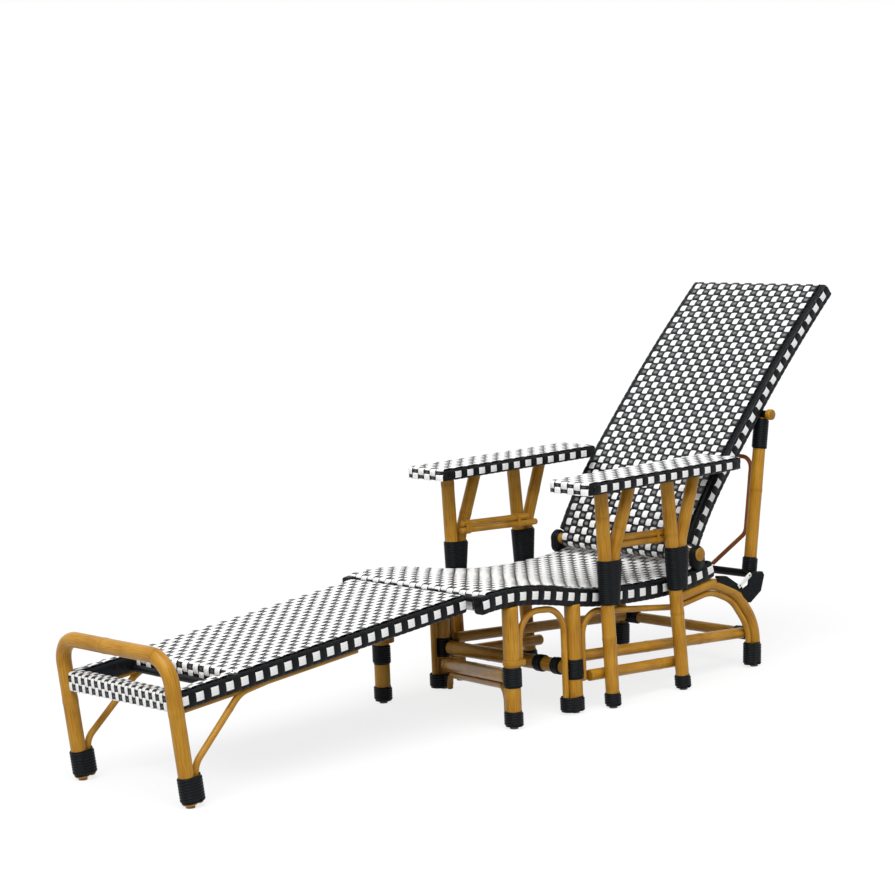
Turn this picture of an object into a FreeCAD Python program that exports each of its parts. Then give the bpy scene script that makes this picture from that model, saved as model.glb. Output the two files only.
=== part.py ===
import FreeCAD, Part
import math
import os
from FreeCAD import Vector

# Rattan chaise longue: a seat unit with arms, a hinged backrest held by a folding prop,
# and a leg rest hung on the front of the seat.
# Millimetres. X runs from the foot to the head, Y from the near to the far side, Z is up.
# The drawing starts at the front face of the seat; at the end everything is moved so that
# the origin lies on the floor under the middle of the whole part.

os.makedirs("parts", exist_ok=True)

# Driving sizes: poles
leg_d = 38.0
post_d = 33.0
arch_d = 29.0
hoop_d = 34.0
stretcher_d = 34.0
rail_pole_d = 27.0
fork_d = 30.0
prop_d = 32.0
thin_d = 15.0
brown_d = 11.0
glide_d = 20.0
glide_h = 5.0

# Driving sizes: seat
seat_half = 240.0
side_rail_w = 32.0
side_rail_h = 44.0
seat_nose = 22.0
seat_top = [(0, 325), (48, 328), (161, 320), (326, 290), (498, 275), (600, 274), (678, 279), (760, 294)]
cross_rail_w = 28.0
panel_t = 8.0
panel_drop = 5.0
slat_d = 18.0

# Driving sizes: legs and rails of the seat
front_leg_x = 79.0
second_leg_x = 282.0
rear_foot_x = 928.0
arch_knee = (934.0, 106.0)
arch_route = [(640, 217), (775, 236), (864, 197), arch_knee, (rear_foot_x, 0)]
arch_bend = 75.0
rail_inset = 21.5
side_rail_z = (126.0, 84.0)
low_rail_z = (82.0, 64.0)
low_rail_end_x = 630.0
second_stretcher_z = 105.0
diagonal_z = (120.0, 62.0)
rear_stretcher_z = 80.0
side_arch_bend = 60.0
side_arch_z = (266.0, 254.0)
side_arch_foot_z = 146.0
long_arch_z = 236.0
long_arch_foot_z = 70.0
front_arch_bend = 24.0

# Driving sizes: arms
arm_x = (262.0, 806.0)
arm_w = 133.0
arm_overhang = 49.1
arm_top_z = 548.0
arm_h = 29.0
arm_bar_w = 24.0
arm_corner = 20.0
front_post_x = (372.0, 353.0)
rear_post_x = (620.0, 582.0)
fork_lean = 110.0
fork_bend = 90.0
fork_low_z = 246.0
fork_split_z = 366.0
arm_stretcher_z = 384.0
arm_stretcher_d = 16.0
arm_stretcher_fall = 10.0
arm_stretcher_inset = 4.0

# Driving sizes: backrest
hinge = (712.0, 316.0)
hinge_rod_d = 27.0
lug_wall = 8.0
lug_drop = 18.0
lug_w = 12.0
lug_lip = 2.0
hinge_rod_lip = 12.0
back_inset = 16.0
back_rail_w = 30.0
back_rail_h = 40.0
back_line = [(719, 336), (796, 451), (899, 568), (1063, 738), (1262, 922)]
back_panel_t = 10.0
back_panel_setback = 3.0
back_end_bar = 32.0
back_rod_d = 20.0

# Driving sizes: prop and rack
pivot = (1002.0, 628.0)
pivot_rod_d = 20.0
prop_head_gap = 7.0
prop_rod_lip = 20.0
brace_reach = 100.0
brace_z = (332.0, 520.0)
brace_bend = 30.0
bar = (936.0, 232.0)
bar_d = 20.0
bar_seat = 5.2
recline_deg = 7.3
prop_ratio = 0.69
rack_side_gap = 0.8
rack_end_gap = 1.5
rack_wall = 5.5
rack_hump = [(-102, 232), (-90, 250), (-62, 246), (-4, 210), (-4, 196)]
rack_top_z = 238.0
rack_root_z = (184.0, 190.0)
rack_keel = (905.0, 166.0)
cheek_x = (900.0, 906.0)
tooth = (8.0, 14.0)
tooth_shoulder = 10.0

# Driving sizes: leg rest
rest_half = 195.0
rest_rail_w = 32.0
rest_rail_h = 40.0
rest_foot = (-838.0, 245.0)
rest_head = (-32.0, 322.0)
rest_slot = 145.0
rest_end_w = 30.0
slot_rod_d = 16.0
under_rod_d = 10.0
under_rod_end_x = -345.0
hoop_half = 190.0
hoop_foot_x = -829.0
hoop_top = (-867.0, 321.0)
hoop_bend = 58.0
brace_knee_z = 86.0
brace_end_x = -668.0
rest_brace_bend = 40.0
dock = (-13.0, 312.0)
dock_rod_d = 14.0
dock_loop_y = 70.0
loop_w = 22.0
strap_wall = 5.0
back_loop_y = 139.0

# Named clearances
run_gap = 0.08
part_gap = 0.6
bind_gap = 0.1
lash_gap = 0.3

# Half size of the boxes that cut poles level
cut_room = 2000.0
rack_gap = 0.5

# Bindings of black cane
cane_d = 3.6
cane_pitch = 4.2
bind_z = 9.0
hoop_bind_z = 15.0
prop_bind = (17.0, 41.0)
prop_turns = 6

leg_y = seat_half - side_rail_w / 2
hinge_rod_half = seat_half + hinge_rod_lip
back_half = seat_half - back_inset
post_y = seat_half + post_d / 2 + cane_d + 2 * bind_gap + part_gap
arm_y = (post_y + arm_overhang - arm_w, post_y + arm_overhang)
thin_off = (leg_d + thin_d) / 2 + cane_d + 2 * bind_gap + lash_gap
nodes = {}


def line(a, b):
    return Part.LineSegment(Vector(*a), Vector(*b)).toShape()


def route(points, bend):
    """A wire through the points, with every inner corner rounded to the bend radius."""
    corners = [Vector(*p) for p in points]
    edges = []
    start = corners[0]
    for before, corner, after in zip(corners, corners[1:], corners[2:]):
        back = (before - corner).normalize()
        ahead = (after - corner).normalize()
        half = back.getAngle(ahead) / 2
        cut = bend / math.tan(half)
        inward = (back + ahead).normalize()
        arc_in = corner + back * cut
        arc_out = corner + ahead * cut
        arc_mid = corner + inward * (bend / math.sin(half) - bend)
        edges.append(Part.LineSegment(start, arc_in).toShape())
        edges.append(Part.Arc(arc_in, arc_mid, arc_out).toShape())
        start = arc_out
    edges.append(Part.LineSegment(start, corners[-1]).toShape())
    return Part.Wire(edges)


def pole(points, diameter, bend=0.0):
    """A round pole along the points, straight or with rounded bends."""
    wire = route(points, bend)
    ahead = Vector(*points[1]) - Vector(*points[0])
    ring = Part.Wire([Part.makeCircle(diameter / 2, Vector(*points[0]), ahead)])
    return wire.makePipeShell([ring], True, False)


def rod_y(centre, half, diameter):
    """A round rod across the part, at an (x, z) centre."""
    return Part.makeCylinder(diameter / 2, 2 * half, Vector(centre[0], -half, centre[1]), Vector(0, 1, 0))


def slab(outline, y0, y1):
    """A flat plate with an (x, z) outline of straight lines, from y0 to y1."""
    points = [Vector(x, y0, z) for x, z in outline]
    face = Part.Face(Part.makePolygon(points + points[:1]))
    return face.extrude(Vector(0, y1 - y0, 0))


def spline(points, y):
    curve = Part.BSplineCurve()
    curve.interpolate([Vector(x, y, z) for x, z in points])
    return curve


def offset_points(points, distance, first=0.0, last=1.0, count=9):
    """Points beside the curve through the given ones; positive is under and behind it."""
    curve = spline(points, 0)
    length = curve.length()
    result = []
    for index in range(count):
        share = first + (last - first) * index / (count - 1)
        at = curve.parameterAtDistance(length * share, curve.FirstParameter)
        point = curve.value(at)
        along = curve.tangent(at)[0]
        result.append((point.x + along.z * distance, point.z - along.x * distance))
    return result


def band(points, upper, lower, y0, y1, first=0.0, last=1.0):
    """A bar of even depth that follows a curve in the side view."""
    top = offset_points(points, upper, first, last)
    low = offset_points(points, lower, first, last)
    edges = [
        spline(top, y0).toShape(),
        line((top[-1][0], y0, top[-1][1]), (low[-1][0], y0, low[-1][1])),
        spline(low, y0).toShape(),
        line((low[0][0], y0, low[0][1]), (top[0][0], y0, top[0][1])),
    ]
    face = Part.Face(Part.Wire(Part.__sortEdges__(edges)))
    return face.extrude(Vector(0, y1 - y0, 0))


def on_curve(points, share, distance):
    return offset_points(points, distance, share, share, 2)[0]


def link(a, b, radius, y0, y1):
    """A strap of stadium outline around two parallel rods."""
    first = Part.makeCylinder(radius, y1 - y0, Vector(a[0], y0, a[1]), Vector(0, 1, 0))
    second = Part.makeCylinder(radius, y1 - y0, Vector(b[0], y0, b[1]), Vector(0, 1, 0))
    along = Vector(b[0] - a[0], 0, b[1] - a[1]).normalize()
    side = (along.z * radius, -along.x * radius)
    web = slab([(a[0] + side[0], a[1] + side[1]), (b[0] + side[0], b[1] + side[1]),
                (b[0] - side[0], b[1] - side[1]), (a[0] - side[0], a[1] - side[1])], y0, y1)
    return first.fuse([second, web]).removeSplitter()


def mirrored(shape):
    return shape.mirror(Vector(0, 0, 0), Vector(0, 1, 0))


def pair(name, near_shape):
    """Adds a piece of the near side and its mirror image on the far side, as two nodes."""
    nodes[name + "_near"] = near_shape
    nodes[name + "_far"] = mirrored(near_shape)


def both(name, near_shape):
    """Adds equal pieces of both sides as one node of separate solids."""
    nodes[name] = Part.makeCompound([near_shape, mirrored(near_shape)])


def biarc(p0, t0, p1, t1):
    """Two arcs from p0 to p1 that leave along t0 and arrive along t1."""
    across = p1 - p0
    total = t0 + t1
    turn = 2 * (1 - t0.dot(t1))
    reach = across.dot(total)
    size = (-reach + math.sqrt(reach * reach + turn * across.dot(across))) / turn
    joint = (p0 + p1 + (t0 - t1) * size) * 0.5
    arcs = []
    for start, end, along in ((p0, joint, t0), (p1, joint, t1 * -1)):
        chord = end - start
        unit = Vector(chord).normalize()
        rise = along - unit * along.dot(unit)
        bow = chord.Length / 2 * math.tan(along.getAngle(chord) / 2)
        middle = (start + end) * 0.5 + rise.normalize() * bow
        arcs.append((start, middle, end))
    second = arcs[1]
    return [arcs[0], (second[2], second[1], second[0])]


least_gap = [1000.0]


def winding(base, axis, radius, turns, side=(1, 0, 0), spread=0.0, wire=cane_d, pitch=cane_pitch):
    """One unbroken cane wound around a pole, or around poles that lie side by side."""
    up = Vector(*axis).normalize()
    out = Vector(*side)
    out = (out - up * out.dot(up)).normalize()
    over = up.cross(out)
    centre_line = radius + wire / 2 + bind_gap
    around = 2 * math.pi * centre_line + 2 * spread
    slope = pitch / around
    flat = 1 / math.sqrt(1 + slope * slope)
    start = Vector(*base)

    def station(half_turns, end):
        sign = 1 if half_turns % 2 == 0 else -1
        run = half_turns * around / 2 + (math.pi * centre_line if end else 0)
        middle = start + out * (sign * spread / 2) + up * (run * slope)
        edge = over * (centre_line * sign * (1 if end else -1))
        along = (out * (sign * (-1 if end else 1)) + up * slope) * flat
        return middle + edge, along

    edges = []
    samples = []
    place, along = station(0, False)
    edges.append(Part.LineSegment(place - along * wire, place).toShape())
    for half in range(2 * turns):
        p0, t0 = station(half, False)
        p1, t1 = station(half, True)
        for first, middle, last in biarc(p0, t0, p1, t1):
            edges.append(Part.Arc(first, middle, last).toShape())
            samples += [first, middle]
        if spread > 0 and half < 2 * turns - 1:
            edges.append(Part.LineSegment(p1, station(half + 1, False)[0]).toShape())
        place, along = p1, t1
    edges.append(Part.LineSegment(place, place + along * wire).toShape())
    lap = 8
    for one, two in zip(samples, samples[lap:]):
        least_gap[0] = min(least_gap[0], (two - one).Length - wire)
    path = Part.Wire(edges)
    begin, heading = station(0, False)
    ring = Part.Wire([Part.makeCircle(wire / 2, begin - heading * wire, heading)])
    return path.makePipeShell([ring], True, False)


# Seat: two curved side rails, cross rails, the woven panel and the rods
seat_line = [(-seat_nose, 2 * seat_top[0][1] - seat_top[1][1] + 1)] + seat_top
seat_length = spline(seat_line, 0).length()
nose_share = seat_nose / seat_length
cross_share = (seat_nose + cross_rail_w) / seat_length
pair("seat_rail", band(seat_line, 0, side_rail_h, -seat_half, -seat_half + side_rail_w))
seat_inner = seat_half - side_rail_w
nodes["seat_front_rail"] = band(seat_line, 0, side_rail_h, -seat_inner, seat_inner, nose_share, cross_share)
nodes["seat_rear_rail"] = band(seat_line, 0, side_rail_h, -seat_inner, seat_inner,
                               1 - cross_rail_w / seat_length, 1)
nodes["seat_panel"] = band(seat_line, panel_drop, panel_drop + panel_t, -seat_inner, seat_inner,
                           cross_share, 1 - cross_rail_w / seat_length)
slats = [rod_y(on_curve(seat_line, share, panel_drop + panel_t + slat_d / 2 + bind_gap), seat_inner, slat_d)
         for share in (0.28, 0.53, 0.76)]
nodes["seat_slats"] = Part.makeCompound(slats)
nodes["dock_rod"] = rod_y(dock, seat_inner, dock_rod_d)
nodes["hinge_rod"] = rod_y(hinge, hinge_rod_half, hinge_rod_d)


def seat_under(x):
    """Height of the lower edge of the side rail at x."""
    return min(offset_points(seat_line, side_rail_h, 0, 1, 400), key=lambda p: abs(p[0] - x))[1]


lug = link(hinge, (hinge[0], hinge[1] - lug_drop), hinge_rod_d / 2 + lug_wall,
           -seat_half - lug_lip, -seat_half + lug_w)
both("hinge_lugs", lug.cut(nodes["seat_rail_near"]).cut(nodes["hinge_rod"]))

# Legs of the seat
foot_z = glide_h


def level_cut(z):
    """A large box that reaches up from a level."""
    return Part.makeBox(2 * cut_room, 2 * cut_room, cut_room, Vector(-cut_room, -cut_room, z))


below_feet = level_cut(foot_z - cut_room)
for stem, x in (("front_leg", front_leg_x), ("second_leg", second_leg_x)):
    raw = pole([(x, -leg_y, foot_z), (x, -leg_y, seat_under(x) + side_rail_h / 2)], leg_d)
    both(stem + "s", raw.cut(nodes["seat_rail_near"]).Solids[0])
rear_arch = pole([(x, -leg_y, z) for x, z in arch_route], arch_d, arch_bend)
rear_arch = rear_arch.cut(nodes["seat_rail_near"]).cut(below_feet)
near_arch = max(rear_arch.Solids, key=lambda s: s.Volume)
both("rear_arches", near_arch)

# Thin inner arches between the legs


def rear_leg_x(z):
    """Middle of the rear leg at a height below its knee."""
    return rear_foot_x + (arch_knee[0] - rear_foot_x) * z / arch_knee[1]


def at_leg(points):
    return [(x, -leg_y, z) for x, z in points]


def inside_bend(points, distance):
    """The corners of a line that runs on the inner side of a bent one, at an even distance."""
    runs = []
    for a, b in zip(points, points[1:]):
        ahead = Vector(b[0] - a[0], 0, b[1] - a[1]).normalize()
        side = Vector(ahead.z, 0, -ahead.x) * distance
        runs.append((Vector(a[0], 0, a[1]) + side, ahead))
    corners = [runs[0][0]]
    for (a, one), (b, two) in zip(runs, runs[1:]):
        across = Vector(two.z, 0, -two.x)
        corners.append(a + one * ((b - a).dot(across) / one.dot(across)))
    last = points[-1]
    corners.append(runs[-1][0] + runs[-1][1] * math.dist(points[-2], last))
    return [(c.x, c.z) for c in corners]


left = front_leg_x + (leg_d + thin_d) / 2 + lash_gap
right = second_leg_x - thin_off
both("side_arches", pole(at_leg([(left, side_arch_foot_z), (left, side_arch_z[0]), (right, side_arch_z[1]),
                                 (right, foot_z)]), thin_d, side_arch_bend))
first_x = second_leg_x + thin_off
rear_off = (arch_d + thin_d) / 2 + lash_gap + 0.2
beside_arch = inside_bend(arch_route[:-1] + [(rear_leg_x(foot_z), foot_z)], rear_off)
both("long_arches", pole(at_leg([(first_x, long_arch_foot_z), (first_x, long_arch_z)] + beside_arch), thin_d,
                         arch_bend - rear_off))

# Stretchers, which end at the bindings of the legs
wrap = cane_d + 2 * bind_gap + lash_gap
reach = leg_y - leg_d / 2 - wrap
nodes["second_stretcher"] = rod_y((second_leg_x, second_stretcher_z), reach, stretcher_d)
run_x = second_leg_x - front_leg_x
run_y = 2 * leg_y
run = math.hypot(run_x, run_y)


def diagonal_at(share, drop):
    """A point under the diagonal, as a share of the way from leg to leg."""
    z = diagonal_z[0] + (diagonal_z[1] - diagonal_z[0]) * share - drop
    return (front_leg_x + run_x * share, -leg_y + run_y * share, z)


trim = (leg_d / 2 + wrap + part_gap * 4) / run
nodes["front_diagonal"] = pole([diagonal_at(trim, 0), diagonal_at(1 - trim, 0)], stretcher_d)
under = (stretcher_d + thin_d) / 2 + lash_gap
step = (leg_d / 2 + thin_off - thin_d / 2) / run
tops = [diagonal_at(step, under), diagonal_at(1 - step, under)]
feet = [(x, y, foot_z) for x, y, z in tops]
nodes["front_arch"] = pole([feet[0], tops[0], tops[1], feet[1]], thin_d, front_arch_bend)
raw = rod_y((rear_leg_x(rear_stretcher_z), rear_stretcher_z), leg_y, rail_pole_d)
raw = raw.cut(near_arch).cut(mirrored(near_arch))
nodes["rear_stretcher"] = max(raw.Solids, key=lambda s: s.Volume)
rear_at = (rear_leg_x(rear_stretcher_z), rear_stretcher_z)
start_x = second_leg_x + stretcher_d / 2 + lash_gap
side_rail = pole([(start_x, -leg_y + rail_inset, side_rail_z[0]),
                  (rear_foot_x, -leg_y + rail_inset, side_rail_z[1])], rail_pole_d)
leg_room = Part.makeCylinder(leg_d / 2 + wrap, arm_top_z, Vector(second_leg_x, -leg_y, 0))
side_rail = side_rail.cut(leg_room).cut(near_arch).cut(rod_y(rear_at, leg_y, rail_pole_d + 2 * wrap))
both("side_rails", max(side_rail.Solids, key=lambda s: s.Volume))
low_y = post_y - (post_d + rail_pole_d) / 2 - lash_gap
low_start = first_x + thin_d / 2 + 2 * part_gap
both("low_rails", pole([(low_start, -low_y, low_rail_z[0]), (low_rail_end_x, -low_y, low_rail_z[1])],
                       rail_pole_d))

# Arms: posts to the floor, slanted fork rods, a stretcher, a frame and a woven top
arm_under = arm_top_z - arm_h


def post_at(post, z):
    return post[0] + (post[1] - post[0]) * (z - foot_z) / (arm_under - foot_z)


beside = (post_d + fork_d) / 2 + lash_gap
arm_seat_z = arm_top_z - panel_drop / 2 - panel_t
above_posts = level_cut(arm_seat_z)
posts = {}
for stem, post in (("front", front_post_x), ("rear", rear_post_x)):
    raw = pole([(post_at(post, 0), -post_y, 0), (post_at(post, arm_top_z), -post_y, arm_top_z)], post_d)
    fork = pole([(post_at(post, fork_low_z) + beside, -post_y, fork_low_z),
                 (post_at(post, fork_split_z) + beside, -post_y, fork_split_z),
                 (post[1] + fork_lean, -post_y, arm_top_z)], fork_d, fork_bend)
    posts[stem] = (raw.cut(below_feet).cut(above_posts), fork.cut(above_posts))
    both("arm_post_" + stem, posts[stem][0])
    both("arm_fork_" + stem, posts[stem][1])
# Two thin rods one above the other, lashed to the inner faces of the posts and forks
tie_y = post_y - (post_d + arm_stretcher_d) / 2 - lash_gap
tie_start = post_at(front_post_x, arm_stretcher_z) - post_d / 2 + arm_stretcher_inset
tie_post = post_at(rear_post_x, arm_stretcher_z)
ties = []
for side, tie_end in ((1, tie_post + post_d / 2), (-1, tie_post + beside + fork_d / 2)):
    middle = arm_stretcher_z + side * (arm_stretcher_d + lash_gap) / 2
    slope = arm_stretcher_fall / (tie_post - tie_start)
    tie = [(x, -tie_y, middle + arm_stretcher_fall / 2 - slope * (x - tie_start))
           for x in (tie_start, tie_end - arm_stretcher_inset)]
    ties.append(pole(tie, arm_stretcher_d))
both("arm_stretchers", Part.makeCompound(ties))


def rounded_plate(x0, x1, y0, y1, z0, z1, radius):
    box = Part.makeBox(x1 - x0, y1 - y0, z1 - z0, Vector(x0, y0, z0))
    upright = [e for e in box.Edges if abs(e.Vertexes[0].Z - e.Vertexes[1].Z) > 1]
    return box.makeFillet(radius, upright)


hole = (arm_x[0] + arm_bar_w, arm_x[1] - arm_bar_w, -arm_y[1] + arm_bar_w, -arm_y[0] - arm_bar_w)
arm_frame = rounded_plate(arm_x[0], arm_x[1], -arm_y[1], -arm_y[0], arm_under, arm_top_z, arm_corner)
arm_hole = rounded_plate(*hole, arm_under - 1, arm_top_z + 1, arm_corner / 3)
both("arm_frames", arm_frame.cut(arm_hole))
both("arm_panels", rounded_plate(*hole, arm_seat_z, arm_seat_z + panel_t, arm_corner / 3))

# Backrest: curved side rails, top bar, cross rods, woven panel and the straps of the hinge
back_length = spline(back_line, 0).length()
back_inner = back_half - back_rail_w
depth = back_rail_h / 2
pair("back_rail", band(back_line, -depth, depth, -back_half, -back_half + back_rail_w))
end_share = 1 - back_end_bar / back_length
nodes["back_top_bar"] = band(back_line, -depth, depth, -back_inner, back_inner, end_share, 1)
back_low = on_curve(back_line, 16 / back_length, 0)
nodes["back_bottom_rod"] = rod_y(back_low, back_inner, back_rod_d)
panel_front = -depth + back_panel_setback
nodes["back_panel"] = band(back_line, panel_front, panel_front + back_panel_t, -back_inner, back_inner,
                           34 / back_length, end_share)
rod_offset = panel_front + back_panel_t + back_rod_d / 2 + bind_gap
pivot_share = min((i / 400 for i in range(401)), key=lambda s: math.dist(on_curve(back_line, s, 0), pivot))
cross_rods = {share: on_curve(back_line, share, rod_offset) for share in (0.25, pivot_share, 0.78)}
nodes["back_cross_rods"] = Part.makeCompound([rod_y(c, back_inner, back_rod_d) for c in cross_rods.values()])
hinge_straps = []
for y in (-back_loop_y, 0, back_loop_y):
    strap = link(hinge, back_low, hinge_rod_d / 2 + strap_wall, y - loop_w / 2, y + loop_w / 2)
    strap = strap.cut(rod_y(hinge, hinge_rod_half, hinge_rod_d + 2 * run_gap))
    hinge_straps.append(strap.cut(nodes["back_bottom_rod"]).cut(nodes["back_panel"]))
nodes["hinge_straps"] = Part.makeCompound(hinge_straps)
pivot_straps = []
for y in (-back_loop_y, back_loop_y):
    strap = link(pivot, cross_rods[pivot_share], pivot_rod_d / 2 + strap_wall, y - loop_w / 2, y + loop_w / 2)
    strap = strap.cut(rod_y(pivot, hinge_rod_half, pivot_rod_d + 2 * run_gap))
    pivot_straps.append(strap.cut(nodes["back_cross_rods"]).cut(nodes["back_panel"]))
nodes["pivot_straps"] = Part.makeCompound(pivot_straps)

# Prop: two legs behind the rails of the back, the pivot rod, the foot bar and the thin inner rods
prop_y = back_half - back_rail_w / 2
rack_in = prop_y + prop_d / 2 + rack_side_gap
bar_half = rack_in + bar_seat


def prop_at(z, y):
    """A point in the plane of the prop."""
    return (bar[0] + (pivot[0] - bar[0]) * (z - bar[1]) / (pivot[1] - bar[1]), y, z)


prop_leg = pole([prop_at(pivot[1] - prop_head_gap, -prop_y), prop_at(bar[1], -prop_y)], prop_d)
nodes["prop_pivot_rod"] = rod_y(pivot, prop_y + prop_d / 2 + prop_rod_lip, pivot_rod_d)
nodes["prop_foot_bar"] = rod_y(bar, bar_half, bar_d)
pair("prop_leg", prop_leg.cut(nodes["prop_pivot_rod"]).cut(nodes["prop_foot_bar"]).Solids[0])
leg_in = prop_y - (prop_d + brown_d) / 2 - lash_gap
foot_y = leg_in - brace_reach
foot_at = bar[1] + bar_d / 2
half_arch = [prop_at(foot_at, -foot_y), prop_at(brace_z[0], -leg_in), prop_at(brace_z[1], -leg_in)]
arch_path = half_arch + [(x, -y, z) for x, y, z in half_arch[::-1]]
inner_arch = pole(arch_path, brown_d, brace_bend).cut(nodes["prop_foot_bar"])
nodes["prop_inner_arch"] = max(inner_arch.Solids, key=lambda s: s.Volume)

# Racks on the rear arches, set by the travel of the foot bar: a front hump, a floor, a cheek beside
# the end of the bar and a tooth behind it


def turned(point, centre, degrees):
    """A point of the side view after a turn that moves the top to the head end."""
    c = math.cos(math.radians(degrees))
    s = math.sin(math.radians(degrees))
    x = point[0] - centre[0]
    z = point[1] - centre[1]
    return (centre[0] + x * c + z * s, centre[1] - x * s + z * c)


travel = [turned(turned(bar, pivot, recline_deg * prop_ratio * s), hinge, recline_deg * s)
          for s in (i / 40 for i in range(41))]
front_bar = travel[-1]
front_face = front_bar[0] - bar_d / 2 - rack_gap
rear_face = bar[0] + bar_d / 2 + rack_gap
rise = (bar[1] - front_bar[1]) / (bar[0] - front_bar[0])
floor_level = min(z - rise * (x - front_bar[0]) for x, z in travel) - bar_d / 2 - rack_gap


def rack_floor(x):
    """Height of the straight floor under the foot bar."""
    return floor_level + rise * (x - front_bar[0]) - rack_gap


def rack_piece(outline, y0, y1):
    """A rack piece, cut to sit on the rear arch."""
    piece = slab(outline, -y0, -y1).cut(near_arch)
    return max(piece.Solids, key=lambda s: s.Volume)


cheek_in = bar_half + rack_end_gap
rack_out = cheek_in + rack_wall
hump = [(front_face + x, z) for x, z in rack_hump]
floor_x = hump[-1][0]
rear_floor = (rear_face, rack_floor(rear_face))
floor_outline = [(floor_x, rack_floor(floor_x)), rear_floor, (rear_face, rack_root_z[1]), rack_keel,
                 (floor_x, rack_root_z[0])]
cheek_outline = [(cheek_x[0], rack_floor(cheek_x[0])), (cheek_x[1], rack_top_z), (rear_face, rack_top_z),
                 rear_floor]
tooth_outline = [(rear_face, rack_top_z), (rear_face + tooth[0], rack_top_z),
                 (rear_face + tooth[1], rack_top_z - tooth_shoulder), (rear_face, rack_root_z[1])]
rack = [rack_piece(outline, rack_out, rack_in) for outline in (hump, floor_outline, tooth_outline)]
rack.append(rack_piece(cheek_outline, rack_out, cheek_in))
both("racks", Part.makeCompound(rack))

# Leg rest: straight side rails, end and cross rails, woven panel, rods, hoop and braces


def rest_z(x):
    return rest_foot[1] + (rest_head[1] - rest_foot[1]) * (x - rest_foot[0]) / (rest_head[0] - rest_foot[0])


def rest_bar(x0, x1, y0, y1, drop, height):
    return slab([(x0, rest_z(x0) - drop), (x1, rest_z(x1) - drop),
                 (x1, rest_z(x1) - drop - height), (x0, rest_z(x0) - drop - height)], y0, y1)


def hoop_x(z):
    """Middle of the hoop's leg at a height."""
    return hoop_foot_x + (hoop_top[0] - hoop_foot_x) * (z - foot_z) / (hoop_top[1] - foot_z)


half_hoop = [(hoop_x(0), -hoop_half, 0), (hoop_top[0], -hoop_half, hoop_top[1])]
hoop_path = half_hoop + [(x, -y, z) for x, y, z in half_hoop[::-1]]
nodes["hoop"] = pole(hoop_path, hoop_d, hoop_bend).cut(below_feet).Solids[0]
rest_inner = rest_half - rest_rail_w
rail_x = rest_foot[0] - hoop_d / 2
raw = rest_bar(rail_x, rest_head[0], -rest_half, -rest_inner, 0, rest_rail_h).cut(nodes["hoop"])
pair("rest_rail", max(raw.Solids, key=lambda s: s.Volume))
end_x = hoop_top[0] + 4
raw = rest_bar(end_x, end_x + rest_end_w, -hoop_half, hoop_half, 0, rest_rail_h).cut(nodes["hoop"])
raw = max(raw.Solids, key=lambda s: s.Volume).cut(nodes["rest_rail_near"]).cut(nodes["rest_rail_far"])
nodes["rest_end_rail"] = max(raw.Solids, key=lambda s: s.Volume)
slot_x = end_x + rest_end_w + rest_slot
nodes["rest_slot_rail"] = rest_bar(slot_x, slot_x + rest_end_w, -rest_inner, rest_inner, 0, rest_rail_h)
head_x = rest_head[0] - rest_end_w
nodes["rest_head_rail"] = rest_bar(head_x, rest_head[0], -rest_inner, rest_inner, 0, rest_rail_h)
nodes["rest_panel"] = rest_bar(slot_x + rest_end_w, head_x, -rest_inner, rest_inner, panel_drop, panel_t)
cross_x = slot_x - slot_rod_d / 2 - bind_gap
cross_z = rest_z(cross_x) - rest_rail_h + slot_rod_d / 2
nodes["rest_cross_rod"] = rod_y((cross_x, cross_z), rest_inner, slot_rod_d)
rail_y = -rest_half + rest_rail_w / 2
under = rest_rail_h + under_rod_d / 2 + bind_gap
rod_start = hoop_x(rest_z(rail_x) - under) + hoop_d / 2 + part_gap
under_rod = pole([(x, rail_y, rest_z(x) - under) for x in (rod_start, under_rod_end_x)], under_rod_d)
both("rest_under_rods", under_rod)
foot_side = (hoop_d + thin_d) / 2 + part_gap
brace = [(hoop_x(z) + foot_side, -hoop_half, z) for z in (foot_z, brace_knee_z)]
brace.append((brace_end_x, rail_y, rest_z(brace_end_x) - under))
brace = pole(brace, thin_d, rest_brace_bend).cut(nodes["rest_rail_near"]).cut(under_rod)
both("rest_braces", max(brace.Solids, key=lambda s: s.Volume))
straps = []
strap_centre = (head_x + rest_end_w / 2, rest_z(head_x) - rest_rail_h / 2)
for y in (-dock_loop_y, dock_loop_y):
    strap = link(dock, strap_centre, dock_rod_d / 2 + strap_wall, y - loop_w / 2, y + loop_w / 2)
    strap = strap.cut(rod_y(dock, seat_inner, dock_rod_d + 2 * run_gap))
    strap = strap.cut(nodes["rest_head_rail"]).cut(nodes["rest_panel"])
    straps.append(max(strap.Solids, key=lambda s: s.Volume))
nodes["dock_straps"] = Part.makeCompound(straps)

# Glides under the poles
seat_feet = [(front_leg_x, leg_y), (second_leg_x, leg_y), (rear_foot_x, leg_y),
             (front_post_x[0], post_y), (rear_post_x[0], post_y)]


def glides(feet):
    return Part.makeCompound([Part.makeCylinder(glide_d / 2, glide_h, Vector(x, side * y, 0))
                              for x, y in feet for side in (-1, 1)])


nodes["seat_glides"] = glides(seat_feet)
nodes["rest_glides"] = glides([(hoop_foot_x, hoop_half)])

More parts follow.
